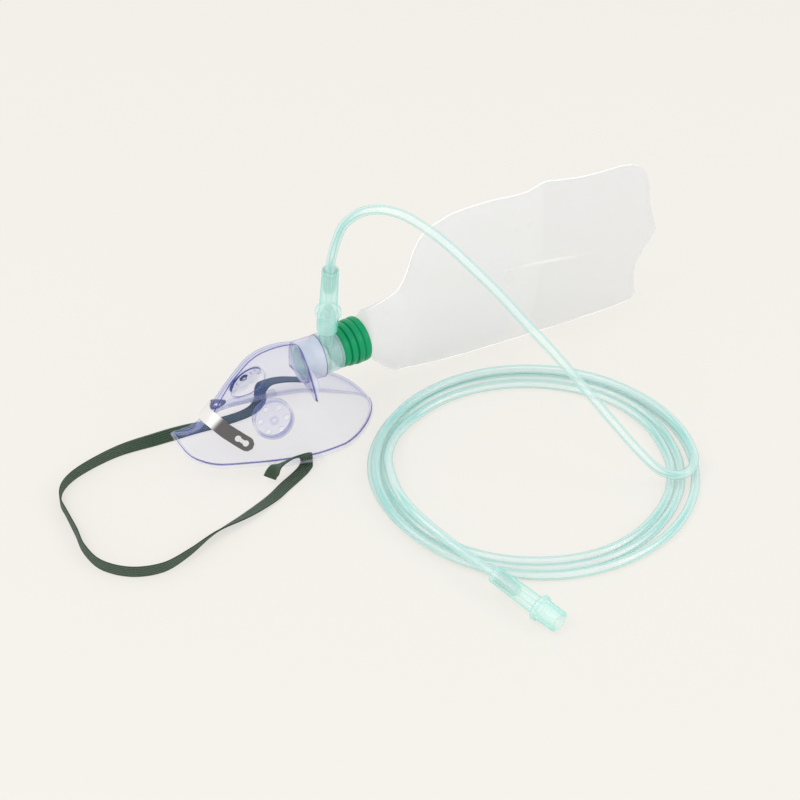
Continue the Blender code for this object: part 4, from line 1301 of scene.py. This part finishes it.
class OXYMASK_OT_tubing(Operator):
    """The supply tubing from the inlet connector, round its coil, to the supply connector"""

    bl_idname = "oxymask.tubing"
    bl_label = "Supply tubing"

    def execute(self, context):
        s = context.scene.oxymask_tubing
        line, length = tubing_line()
        mat = tube_material(opaque(s.colour), opaque(s.edge))
        curve = bpy.data.curves.new("supply_tubing", "CURVE")
        curve.dimensions = "3D"
        curve.bevel_depth = s.diameter / 2
        curve.bevel_resolution = 6
        curve.use_fill_caps = True
        spline = curve.splines.new("POLY")
        spline.points.add(len(line) - 1)
        for point, p in zip(spline.points, line):
            point.co = (*at(p), 1.0)
        curve.materials.append(mat)
        ob = bpy.data.objects.new("supply_tubing", curve)
        context.scene.collection.objects.link(ob)
        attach(ob, "root")
        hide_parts("tubing_lead", "tubing_coil", "tubing_tail")
        tuple(at(line[0]))
        return {"FINISHED"}


class OXYMASK_OT_shell(Operator):
    """The clear face piece with its rim, collar and strap tabs"""

    bl_idname = "oxymask.shell"
    bl_label = "Face piece"

    def execute(self, context):
        s = context.scene.oxymask_shell
        clear = clear_material(
            "clear vinyl", opaque(s.colour), opaque(s.edge), 0.05, 0.95,
            roughness=0.1, power=5.6, bump=0.05
        )
        thick = clear_material(
            "collar vinyl", opaque(s.collar), opaque(s.edge), 0.4, 0.9, roughness=0.12, power=5.0
        )
        dense = clear_material(
            "rolled vinyl", opaque(s.rim), opaque(s.rim), 0.55, 0.95, roughness=0.15, power=2.0
        )
        pale = clear_material(
            "flange vinyl", opaque(s.collar), opaque(s.edge), 0.16, 0.5, roughness=0.15, power=4.0
        )
        dome, face, chin = shell_rows()
        shell = grid("face_piece", dome + face + chin, clear, NOSE_POINT, CHIN_POINT)
        for side in (-1, 1):
            centre, normal = vent_place(side)
            punch(shell, centre, normal, context.scene.oxymask_vents.radius / MM - 0.6, 7.0)
        punch(shell, (FRONT_X, 0, PORT_Z), (1, 0, 0), COLLAR_BORE + 0.2, 6.0)
        wall = shell.modifiers.new("Wall", "SOLIDIFY")
        wall.thickness = s.wall
        wall.offset = -1.0
        baked(shell)
        run = COLLAR_LIP_X - COLLAR_ROOT_X
        collar = lathe(
            "collar",
            [(0, COLLAR_BORE), (0, COLLAR_R), (run, COLLAR_R), (run, COLLAR_BORE)],
            (COLLAR_ROOT_X, 0, PORT_Z),
            (1, 0, 0),
            thick,
            turns=96,
            round_by=0.6,
        )
        loop = rim_line(dome, face, chin)
        rim = rim_piece(loop, s.flange / MM, pale)
        bead = line_piece("rim_bead", near_rim(dome, face, chin), BEAD_R, dense)
        low = max(j for j in range(SHELL_ACROSS // 2) if dome[-1][j][2] < FRONT_FOLD_Z)
        fold = np.array(dome[-1][low : SHELL_ACROSS // 2]) + np.array(CREASE_OFF)
        crease = line_piece("front_crease", fold, CREASE_R, dense)
        blade = blade_piece("crease_blade", fold[: 2 * len(fold) // 3], BLADE_REACH, thick)
        crest = line_piece("crest_line", crest_line(dome), CREST_R, dense)
        inside, outside = COLLAR_R - 0.35, COLLAR_R + 0.1
        lip = lathe(
            "collar_lip",
            [(-0.25, inside), (-0.25, outside), (0.1, outside), (0.1, inside)],
            (COLLAR_LIP_X, 0, PORT_Z),
            (1, 0, 0),
            dense,
            turns=96,
            round_by=0.08,
        )
        tabs = [tab_piece(side, pale) for side in (-1, 1)]
        for ob in (shell, collar, rim, bead, crease, blade, crest, lip):
            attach(ob, "root")
        tabs = joined("strap_tabs", tabs)
        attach(tabs, "root")
        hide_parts("mask_shell")
        return {"FINISHED"}


# Button that holds a vent's flap: height over the vent's face and radius
BUTTON = [(1.0, 0), (1.0, 1.5), (2.2, 1.5), (2.3, 3.0), (2.9, 2.6), (3.3, 1.4), (3.4, 0)]


class OXYMASK_OT_vents(Operator):
    """The two exhalation vents with their ring of holes, button and film flap"""

    bl_idname = "oxymask.vents"
    bl_label = "Exhalation vents"

    def execute(self, context):
        s = context.scene.oxymask_vents
        shell = context.scene.oxymask_shell
        near = clear_material(
            "vent moulding", opaque(shell.colour), opaque(shell.edge), 0.07, 0.8,
            roughness=0.08, power=3.6
        )
        veiled = clear_material(
            "far vent moulding", opaque(shell.colour), opaque(shell.collar), 0.03, 0.3,
            roughness=0.08, power=4.0
        )
        film = clear_material(
            "flap film", tint_of(shell.colour, 1.08), opaque(shell.collar), 0.04, 0.3,
            roughness=0.08, power=4.0
        )
        holes = perforation_tree()
        r = s.radius / MM
        for side, tag, clear in ((-1, "near", near), (1, "far", veiled)):
            centre, normal = vent_place(side)
            plate = lathe_z("plate", [(-0.4, 0), (-0.4, r - 1.0), (1.0, r - 1.0), (1.0, 0)], clear)
            plate = use_tree(
                plate,
                holes,
                count=s.holes,
                ring_radius=s.hole_ring,
                hole_radius=s.hole_radius,
                depth=0.01,
                material=clear,
            )
            ring = lathe_z(
                "ring",
                [(-VENT_DEPTH, r - 1.4), (-VENT_DEPTH, r), (1.5, r), (1.5, r - 0.9), (1.0, r - 1.3)],
                clear,
            )
            button = lathe_z("button", BUTTON, clear)
            vent = joined(f"vent_{tag}", [plate, ring, button])
            u, v, w = axis_frame(normal)
            turn = Matrix((u, v, w)).transposed().to_4x4()
            vent.data.transform(Matrix.Translation(at(centre)) @ turn)
            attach(vent, "root")
            flap = bpy.data.objects[f"exhalation_flap_{tag}"]
            for slot in flap.material_slots:
                slot.material = film
        return {"FINISHED"}


def lathe_z(name, profile, mat, turns=64, round_by=0.2):
    """A turned part about the Z axis through the frame's own origin."""
    return lathe(name, profile, (MASK_X, MASK_Y, 0), (0, 0, 1), mat, turns, round_by)


class OXYMASK_OT_clip(Operator):
    """The aluminium nose clip"""

    bl_idname = "oxymask.clip"
    bl_label = "Nose clip"

    def execute(self, context):
        s = context.scene.oxymask_clip
        node = bpy.data.objects["nose_clip"]
        mesh = node.data.copy()
        bm = bmesh.new()
        bm.from_mesh(mesh)
        bmesh.ops.remove_doubles(bm, verts=bm.verts, dist=1e-6)
        bmesh.ops.dissolve_limit(bm, angle_limit=math.radians(0.5), verts=bm.verts, edges=bm.edges)
        finish_mesh(bm, mesh, 35, outward=False)
        clip = bpy.data.objects.new("clip_strip", mesh)
        context.scene.collection.objects.link(clip)
        mesh.materials.clear()
        mesh.materials.append(metal_material(opaque(s.colour), opaque(s.bright)))
        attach(clip, "root")
        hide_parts("nose_clip")
        return {"FINISHED"}


# Route of the strap from its near tail end through both slots to its far tail end: a point
# and the direction of the band's width there
STRAP_ROUTE = [
    (-104.8, -39.5, 5.3, 0.89, -0.45, 0.0),
    (-103.0, -40.0, 9.0, 0.85, -0.50, 0.1),
    (-98.5, -39.8, 12.2, 0.55, -0.65, 0.5),
    (-91.0, -38.8, 13.4, 0.15, -0.72, 0.68),
    (-84.5, -37.4, 12.8, 0.35, -0.65, 0.6),
    (-80.6, -36.0, 11.0, 0.80, -0.35, 0.3),
    (-78.6, -34.7, 8.4, 1.0, 0.05, -0.14),
    (-78.0, -34.2, 6.0, 1.0, 0.0, -0.14),
    (-78.0, -34.2, 3.8, 1.0, 0.0, -0.14),
    (-78.1, -34.5, 2.3, 1.0, -0.05, -0.08),
    (-79.3, -35.6, 1.3, 0.90, -0.42, -0.02),
    (-82.8, -38.2, 0.85, 0.66, -0.75, 0.0),
    (-88.6, -41.4, 0.7, 0.50, -0.87, 0.0),
    (-98.0, -46.2, 0.7, 0.45, -0.89, 0.0),
    (-110.0, -53.0, 1.2, 0.40, -0.90, 0.12),
    (-129.3, -60.4, 2.2, 0.35, -0.85, 0.38),
    (-152.0, -67.0, 3.6, 0.20, -0.55, 0.80),
    (-172.7, -76.4, 4.4, 0.0, -0.22, 0.97),
    (-190.5, -80.6, 4.3, 0.0, -0.05, 1.0),
    (-208.1, -75.5, 4.3, 0.0, 0.0, 1.0),
    (-221.0, -62.5, 4.3, 0.05, 0.0, 1.0),
    (-225.0, -45.9, 4.3, 0.10, 0.0, 1.0),
    (-224.0, -30.3, 4.3, 0.10, 0.0, 1.0),
    (-223.5, -14.0, 4.3, 0.0, 0.0, 1.0),
    (-222.8, -1.0, 4.3, 0.0, 0.0, 1.0),
    (-216.8, 10.6, 4.3, 0.0, 0.0, 1.0),
    (-202.5, 19.0, 4.3, 0.0, 0.0, 1.0),
    (-177.0, 25.0, 4.3, 0.0, 0.12, 0.99),
    (-152.0, 25.4, 3.8, 0.0, 0.50, 0.85),
    (-130.0, 26.2, 2.3, 0.05, 0.9, 0.4),
    (-113.0, 25.6, 1.0, 0.05, 1.0, 0.1),
    (-97.0, 25.6, 0.7, 0.0, 1.0, 0.0),
    (-89.5, 26.6, 0.7, -0.25, 0.96, 0.0),
    (-84.3, 28.6, 0.75, -0.50, 0.85, 0.0),
    (-80.7, 31.4, 0.9, -0.75, 0.66, 0.0),
    (-78.7, 33.3, 1.6, -0.96, 0.28, 0.0),
    (-78.0, 34.1, 3.0, -1.0, 0.05, 0.14),
    (-78.0, 34.2, 4.6, -1.0, 0.0, 0.14),
    (-77.9, 34.3, 6.9, -1.0, 0.05, 0.14),
    (-76.0, 35.3, 9.6, -0.92, 0.38, 0.0),
    (-70.4, 36.3, 10.6, -0.35, 0.93, -0.1),
    (-62.0, 36.6, 9.2, -0.15, 0.98, -0.1),
    (-53.0, 35.4, 6.8, -0.25, 0.95, -0.1),
    (-45.0, 32.6, 5.2, -0.40, 0.88, -0.1),
]
STRAP_SECTION = 12


class OXYMASK_OT_strap(Operator):
    """The ribbed elastic head strap, threaded through both tabs"""

    bl_idname = "oxymask.strap"
    bl_label = "Head strap"

    def execute(self, context):
        s = context.scene.oxymask_strap
        width, thick = s.width / MM, s.thickness / MM
        rows = smooth_rows(STRAP_ROUTE, 10)
        pts = rows[:, :3]
        run = run_lengths(pts)
        rings = []
        for i, row in enumerate(rows):
            t = unit(pts[min(i + 1, len(pts) - 1)] - pts[max(i - 1, 0)])
            w = row[3:] - t * (row[3:] @ t)
            w = unit(w)
            n = np.cross(t, w)
            ring = []
            half = STRAP_SECTION
            for k in range(2 * half):
                if k < half:
                    u, v = -1 + 2 * k / (half - 1), 1
                else:
                    u, v = 1 - 2 * (k - half) / (half - 1), -1
                edge = math.sqrt(max(0.0, 1 - (abs(u) ** 10)))
                ring.append(row[:3] + w * u * width / 2 + n * v * thick / 2 * (0.35 + 0.65 * edge))
            rings.append(ring)

        def band(i, k):
            half = STRAP_SECTION
            u = k / (half - 1) if k < half else 1 - (k - half) / (half - 1)
            return (u, run[i])

        mat = strap_material(opaque(s.colour), s.ribs)
        ob = swept("elastic_band", rings, mat, sharp=70, uv=band)
        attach(ob, "root")
        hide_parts("head_strap")
        return {"FINISHED"}


# ---- tee, ring and bag

TEE_X = -58.5
TEE_YAW = math.radians(7.0)
TEE_AXIS = Vector((math.cos(TEE_YAW), math.sin(TEE_YAW), 0))
PLUG_WALL = 1.4
PLUG_START = -6.2
VALVE_S = -1.0
VALVE_SEAT_T = 1.6
BARREL_START = 7.9
BARREL_END = 17.6
SPIGOT_END = 35.4
RING_START = 17.9
RING_END = 36.0
NECK_R = 11.6


def tee_point(s):
    """The point on the tee's axis this far from where the axis starts."""
    return Vector((TEE_X, 0, PORT_Z)) + TEE_AXIS * s


class OXYMASK_OT_tee(Operator):
    """The clear tee: plug, wide barrel, spigot, valve seat and inlet stem"""

    bl_idname = "oxymask.tee"
    bl_label = "Tee"

    def execute(self, context):
        s = context.scene.oxymask_tee
        clear = clear_material(
            "clear moulding", opaque(s.colour), opaque(s.edge), 0.3, 0.8, roughness=0.06, power=4.0
        )
        plug, barrel, spigot = s.plug / MM, s.barrel / MM, s.spigot / MM
        bore = plug - PLUG_WALL
        wide, narrow = barrel - 1.6, spigot - PLUG_WALL
        body = lathe(
            "tee_body",
            [
                (PLUG_START, bore),
                (PLUG_START, plug),
                (BARREL_START, plug),
                (BARREL_START, barrel),
                (BARREL_END, barrel),
                (BARREL_END, spigot),
                (SPIGOT_END, spigot),
                (SPIGOT_END, narrow),
                (BARREL_END - 1.2, narrow),
                (BARREL_END - 1.2, wide),
                (BARREL_START + 1.2, wide),
                (BARREL_START + 1.2, bore),
            ],
            tee_point(0),
            TEE_AXIS,
            clear,
            turns=96,
            round_by=0.4,
        )
        back, r = VALVE_S + VALVE_SEAT_T, bore - 0.02
        seat = lathe(
            "seat",
            [(VALVE_S, 0), (VALVE_S, r), (back, r), (back, 0)],
            tee_point(0),
            TEE_AXIS,
            clear,
            turns=48,
        )
        stem = lathe(
            "stem",
            [(9.2, 1.6), (9.2, 4.5), (33.0, 4.5), (34.2, 3.3), (39.0, 3.3), (39.0, 1.6)],
            STEM_FOOT,
            STEM_AXIS,
            clear,
            turns=48,
            round_by=0.4,
        )
        tee = joined("tee_moulding", [body, seat, stem])
        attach(tee, "root")
        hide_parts("valve_body")
        film = clear_material(
            "valve film", tint_of(s.colour, 1.05), tint_of(s.colour, 0.7), 0.2, 0.6, roughness=0.15
        )
        for slot in bpy.data.objects["inlet_flap"].material_slots:
            slot.material = film
        return {"FINISHED"}


class OXYMASK_OT_ring(Operator):
    """The green ring that holds the bag's neck, with its lands and grooves"""

    bl_idname = "oxymask.ring"
    bl_label = "Green ring"

    def execute(self, context):
        s = context.scene.oxymask_ring
        mat, _, shader, _ = base_material(
            "green moulding", opaque(s.colour), 0.3, depth=0.12, scale=220.0, bump=0.05
        )
        shader.inputs["Specular IOR Level"].default_value = 0.25
        run = RING_END - RING_START
        pitch = run / s.lands
        big = s.radius / MM
        profile = [(0, NECK_R + 0.3)]
        for k in range(s.lands):
            a = k * pitch
            r = big - 1.6 + 1.6 * min(1.0, (k + 0.2) / 2)
            profile.append((a + (0.5 if k else 0), r - 0.1))
            profile += [(a + pitch * 0.5, r + 0.15), (a + pitch - 0.5, r)]
            if k < s.lands - 1:
                profile += [(a + pitch - 0.3, r - 0.75), (a + pitch + 0.3, r - 0.75)]
        profile += [(run, big - 0.4), (run, NECK_R + 0.3)]
        start = tee_point(RING_START)
        ring = lathe("ring_moulding", profile, start, TEE_AXIS, mat, turns=120, round_by=0.3)
        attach(ring, "root")
        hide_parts("bag_ring")
        return {"FINISHED"}


# Outline of the bag: x of the station, upper edge (y, z), lower edge (y, z), half thickness
BAG = [
    (-18.5, 4.3, 69.9, 5.7, 36.2, 11.8),
    (-12.0, 3.8, 72.6, 6.6, 28.6, 11.3),
    (-4.0, 3.2, 76.2, 8.8, 19.0, 10.6),
    (2.0, 2.5, 80.2, 11.0, 12.6, 9.8),
    (5.8, 2.1, 86.6, 12.0, 10.4, 9.3),
    (9.0, 1.8, 95.4, 12.6, 9.2, 8.9),
    (12.0, 1.7, 105.4, 13.3, 8.2, 8.4),
    (16.6, 1.4, 114.6, 14.4, 6.8, 7.8),
    (22.0, 1.1, 120.2, 15.2, 5.2, 7.4),
    (30.0, 0.7, 123.8, 16.4, 3.4, 6.9),
    (38.0, 0.6, 126.4, 16.8, 2.2, 6.5),
    (52.0, 0.6, 127.4, 16.8, 1.4, 6.2),
    (66.0, 0.6, 127.4, 16.4, 1.2, 5.8),
    (79.0, 0.7, 126.0, 16.0, 1.2, 5.5),
    (90.0, 0.8, 126.0, 15.8, 1.2, 5.2),
    (101.0, 0.9, 129.2, 15.6, 1.2, 4.9),
    (112.0, 1.0, 127.4, 15.5, 1.2, 4.6),
    (126.0, 1.1, 125.0, 15.3, 1.2, 4.2),
    (142.0, 1.2, 123.9, 15.2, 1.3, 3.8),
    (156.0, 1.3, 123.9, 15.1, 1.6, 3.2),
    (166.0, 1.4, 122.4, 15.0, 2.2, 2.6),
    (175.0, 1.5, 119.6, 15.0, 3.4, 1.8),
]
# How far the end edge stands beyond its station, by height from the lower edge to the upper
BAG_END = [
    (0.0, 5.0),
    (0.05, 7.5),
    (0.12, 4.4),
    (0.22, 2.4),
    (0.31, 2.5),
    (0.40, 6.4),
    (0.47, 11.0),
    (0.52, 13.8),
    (0.63, 9.0),
    (0.71, 5.6),
    (0.87, 3.4),
    (0.95, 0.0),
    (1.0, -5.0),
]
BAG_END_REACH = 30.0
BAG_ROUND = 96


def bag_section(row):
    """A closed section of the bag: its two films swell between the welded edges."""
    x, yu, zu, yb, zb, half = row
    last = BAG[-1][0]
    share = max(0.0, (x - last + BAG_END_REACH) / BAG_END_REACH) ** 2
    soft = min(1.0, max(0.0, (x + 18.5) / 30.0))
    out = []
    for k in range(BAG_ROUND):
        a = 2 * math.pi * k / BAG_ROUND
        w = (1 - math.cos(a)) / 2
        y = yu + (yb - yu) * (1 - w) ** 2.2
        dy = -(yb - yu) * 2.2 * (1 - w) ** 1.2
        dz = zu - zb
        size = math.hypot(dy, dz)
        swell = math.copysign(abs(math.sin(a)) ** (1.0 + 0.6 * soft), math.sin(a))
        h = half * swell
        bulge = np.interp(w, [e[0] for e in BAG_END], [e[1] for e in BAG_END]) * share
        out.append((x + bulge, y - h * dz / size, zb + dz * w + h * dy / size))
    return out


def neck_section(s, radius):
    """A round section of the bag's neck about the tee's axis."""
    side = Vector((0, 0, 1)).cross(TEE_AXIS)
    out = []
    for k in range(BAG_ROUND):
        a = 2 * math.pi * k / BAG_ROUND
        p = tee_point(s) - Vector((0, 0, radius * math.cos(a))) - side * (radius * math.sin(a))
        out.append(tuple(p))
    return out


# The film's soft waves begin at this x of the mask's measures and reach their height over this
# many metres
WAVES_START = -14.0
WAVES_RISE = 0.03
# Soft fold across the film, a painted highlight line, in metres in the frame: it runs through this
# height at this x, falls by its slope, and fades in and out along x. Past the upright fold the film
# is a little greyer: painted shade.
FOLD_HEIGHT = 0.0702
FOLD_MIDDLE = 0.1238
FOLD_SLOPE = 0.16
FOLD_HALF = 0.0022
FOLD_START = (0.085, 0.122)
FOLD_STOP = (0.127, 0.159)
FOLD_SHADE_SPAN = (0.1175, 0.1205)
FOLD_SHADE_SHARE = 0.955
FOLD_HIGHLIGHT_COLOUR = (0.96, 0.96, 0.95, 1.0)
WELD_COLOUR = (0.93, 0.93, 0.92, 1.0)


def bag_material(colour):
    """Frosted film, its folds' pale sheen a painted highlight, painted shade past the upright fold.
    """
    mat, tree, shader, mottle = base_material(
        "frosted film", colour, 0.3, depth=0.05, scale=14.0, spread=0.15, bump=0.3
    )
    link = tree.links.new
    where = add(tree, "ShaderNodeTexCoord")
    split = add(tree, "ShaderNodeSeparateXYZ")
    link(where.outputs["Object"], split.inputs["Vector"])
    drop = -FOLD_HEIGHT - FOLD_SLOPE * FOLD_MIDDLE
    lean = add(tree, "ShaderNodeMath", operation="MULTIPLY_ADD", in_1=FOLD_SLOPE, in_2=drop)
    link(split.outputs["X"], lean.inputs[0])
    high = add(tree, "ShaderNodeMath", operation="ADD")
    link(split.outputs["Z"], high.inputs[0])
    link(lean.outputs[0], high.inputs[1])
    off = add(tree, "ShaderNodeMath", operation="ABSOLUTE")
    link(high.outputs[0], off.inputs[0])
    thin = fading(tree, 0.0, FOLD_HALF)
    link(off.outputs[0], thin.inputs["Value"])
    start = fading(tree, *FOLD_START, rising=True)
    link(split.outputs["X"], start.inputs["Value"])
    stop = fading(tree, *FOLD_STOP)
    link(split.outputs["X"], stop.inputs["Value"])
    run = add(tree, "ShaderNodeMath", operation="MULTIPLY")
    link(start.outputs["Result"], run.inputs[0])
    link(stop.outputs["Result"], run.inputs[1])
    fold = add(tree, "ShaderNodeMath", operation="MULTIPLY")
    link(thin.outputs["Result"], fold.inputs[0])
    link(run.outputs[0], fold.inputs[1])
    # Painted shade: past the upright fold the film's colour dims
    grey = fading(tree, *FOLD_SHADE_SPAN, rising=True)
    link(split.outputs["X"], grey.inputs["Value"])
    shade = add(tree, "ShaderNodeMix", data_type="RGBA")
    shade.inputs[7].default_value = tint_of(colour, FOLD_SHADE_SHARE)
    link(grey.outputs["Result"], shade.inputs["Factor"])
    link(mottle.outputs["Colour"], shade.inputs[6])
    # Painted highlight: along the slanted fold the film turns near white and denser
    white = add(tree, "ShaderNodeMix", data_type="RGBA")
    white.inputs[7].default_value = FOLD_HIGHLIGHT_COLOUR
    link(fold.outputs[0], white.inputs["Factor"])
    link(shade.outputs[2], white.inputs[6])
    link(white.outputs[2], shader.inputs["Base Color"])
    dense = add(tree, "ShaderNodeMapRange", in_3=0.36, in_4=0.75)
    link(fold.outputs[0], dense.inputs["Value"])
    link(dense.outputs["Result"], shader.inputs["Alpha"])
    shader.inputs["IOR"].default_value = 1.4
    return mat


class OXYMASK_OT_bag(Operator):
    """The reservoir bag: two films welded along their edges, lightly filled"""

    bl_idname = "oxymask.bag"
    bl_label = "Reservoir bag"

    def execute(self, context):
        s = context.scene.oxymask_bag
        necks = [neck_section(t, NECK_R) for t in (RING_START + 0.3, 23.0, 29.0, RING_END + 0.6)]
        rows = np.array([bag_section(r) for r in smooth_rows(BAG, 5)])
        keys = [np.array(n) for n in necks]
        keys += [keys[-1] * (1 - t) + rows[0] * t for t in (0.35, 0.7)]
        body = keys + list(rows)
        bag = grid("bag_film_skin", body, bag_material(opaque(s.colour)), closed=True, sharp=60)
        bm = bmesh.new()
        bm.from_mesh(bag.data)
        end = [v for v in bm.verts if v.is_boundary and v.co.x > 0.1]
        end.sort(key=lambda v: v.index)
        for k in range(1, BAG_ROUND // 2):
            a, b = end[k], end[BAG_ROUND - k]
            mid = (a.co + b.co) / 2
            a.co = b.co = mid
        bmesh.ops.remove_doubles(bm, verts=end, dist=1e-5)
        finish_mesh(bm, bag.data, 60)
        waves, calm = s.crumple, at((WAVES_START, 0, 0)).x
        for v in bag.data.vertices:
            p = v.co
            away = min(1.0, max(0.0, (p.x - calm) / WAVES_RISE))
            wave = math.sin(p.x * 95 + p.z * 60) * math.sin(p.z * 130 - p.x * 40 + 1.3)
            v.co += v.normal * wave * waves * away
        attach(bag, "root")
        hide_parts("reservoir_bag")
        weld = clear_material(
            "welded edge", WELD_COLOUR, WELD_COLOUR, 0.8, 0.9, roughness=0.3, power=2.0
        )
        # Painted light: the welded edge glows faintly, though it is no lamp
        weld_glow = weld.node_tree.nodes["Principled BSDF"]
        weld_glow.inputs["Emission Color"].default_value = (1.0, 1.0, 1.0, 1.0)
        weld_glow.inputs["Emission Strength"].default_value = 0.2
        edges = [rows[:, 0], rows[:, BAG_ROUND // 2]]
        lines = [line_piece("weld", edge, s.weld / MM / 2, weld) for edge in edges]
        seam = joined("bag_weld", lines)
        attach(seam, "root")
        return {"FINISHED"}


# ---- connectors


# Funnel connector: distance from its open end and radius, outside first, then back inside
FUNNEL = [
    (0, 4.8),
    (0, 6.45),
    (12.8, 6.45),
    (13.1, 7.95),
    (15.3, 7.95),
    (15.5, 5.7),
    (17.5, 5.5),
    (CONNECTOR_LENGTH, 5.0),
    (CONNECTOR_LENGTH, 4.1),
    (31.4, 3.4),
    (30.0, 1.9),
    (19.2, 1.9),
    (14.0, 3.6),
    (12.6, 4.8),
]


class OXYMASK_OT_connectors(Operator):
    """The funnel connectors at both ends of the tubing, with their fluted sockets"""

    bl_idname = "oxymask.connectors"
    bl_label = "Funnel connectors"

    def execute(self, context):
        s = context.scene.oxymask_connectors
        mat = clear_material(
            "aqua vinyl", opaque(s.colour), opaque(s.edge), 0.2, 0.95,
            roughness=0.08, power=1.6, bump=0.04
        )
        inner = clear_material(
            "fluted vinyl", opaque(s.colour), opaque(s.edge), 0.05, 0.45, roughness=0.1, power=2.0
        )
        flutes = ribs_tree()
        ends = (
            ("inlet_funnel", STEM_FOOT + STEM_AXIS * CUFF_START, STEM_AXIS, "inlet_connector"),
            ("supply_funnel", SUPPLY_OPEN, SUPPLY_AXIS, "supply_connector"),
        )
        for name, foot, axis, node in ends:
            ob = lathe_z(name, FUNNEL, mat, turns=72, round_by=0.35)
            ob = use_tree(
                ob,
                flutes,
                count=s.flutes,
                radius=0.0037,
                width=0.0005,
                depth=0.0009,
                length=0.0165,
                middle=0.0401,
                material=inner,
            )
            u, v, w = axis_frame(axis)
            turn = Matrix((u, v, w)).transposed().to_4x4()
            ob.data.transform(Matrix.Translation(at(foot)) @ turn)
            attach(ob, "root")
            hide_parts(node)
        return {"FINISHED"}


class OXYMASK_PT_looks(Panel):
    """Settings and builders of the oxygen mask's pieces"""

    bl_idname = "OXYMASK_PT_looks"
    bl_label = "Oxygen mask"
    bl_space_type = "VIEW_3D"
    bl_region_type = "UI"
    bl_category = "Oxygen mask"

    def draw(self, context):
        for attribute, _, op in STEPS:
            box = self.layout.box()
            settings = getattr(context.scene, attribute)
            for name in settings.__annotations__:
                box.prop(settings, name)
            box.operator(op.bl_idname)


# Settings and operator of each step, in the order in which they run
STEPS = (
    ("oxymask_stage", StageSettings, OXYMASK_OT_stage),
    ("oxymask_connectors", ConnectorSettings, OXYMASK_OT_connectors),
    ("oxymask_tubing", TubingSettings, OXYMASK_OT_tubing),
    ("oxymask_shell", ShellSettings, OXYMASK_OT_shell),
    ("oxymask_vents", VentSettings, OXYMASK_OT_vents),
    ("oxymask_clip", ClipSettings, OXYMASK_OT_clip),
    ("oxymask_strap", StrapSettings, OXYMASK_OT_strap),
    ("oxymask_tee", TeeSettings, OXYMASK_OT_tee),
    ("oxymask_ring", RingSettings, OXYMASK_OT_ring),
    ("oxymask_bag", BagSettings, OXYMASK_OT_bag),
)


def register():
    """Adds the settings, the operators and the panel."""
    for attribute, settings, op in STEPS:
        bpy.utils.register_class(settings)
        bpy.utils.register_class(op)
        setattr(bpy.types.Scene, attribute, PointerProperty(type=settings))
    bpy.utils.register_class(OXYMASK_PT_looks)


def unregister():
    """Takes them away again."""
    bpy.utils.unregister_class(OXYMASK_PT_looks)
    for attribute, settings, op in reversed(STEPS):
        delattr(bpy.types.Scene, attribute)
        bpy.utils.unregister_class(op)
        bpy.utils.unregister_class(settings)


def main():
    """Builds every piece."""
    register()
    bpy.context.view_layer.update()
    for _, _, op in STEPS:
        group, name = op.bl_idname.split(".")
        if "FINISHED" not in getattr(getattr(bpy.ops, group), name)():
            raise RuntimeError(f"{op.bl_idname} did not finish")


if __name__ == "__main__":
    main()
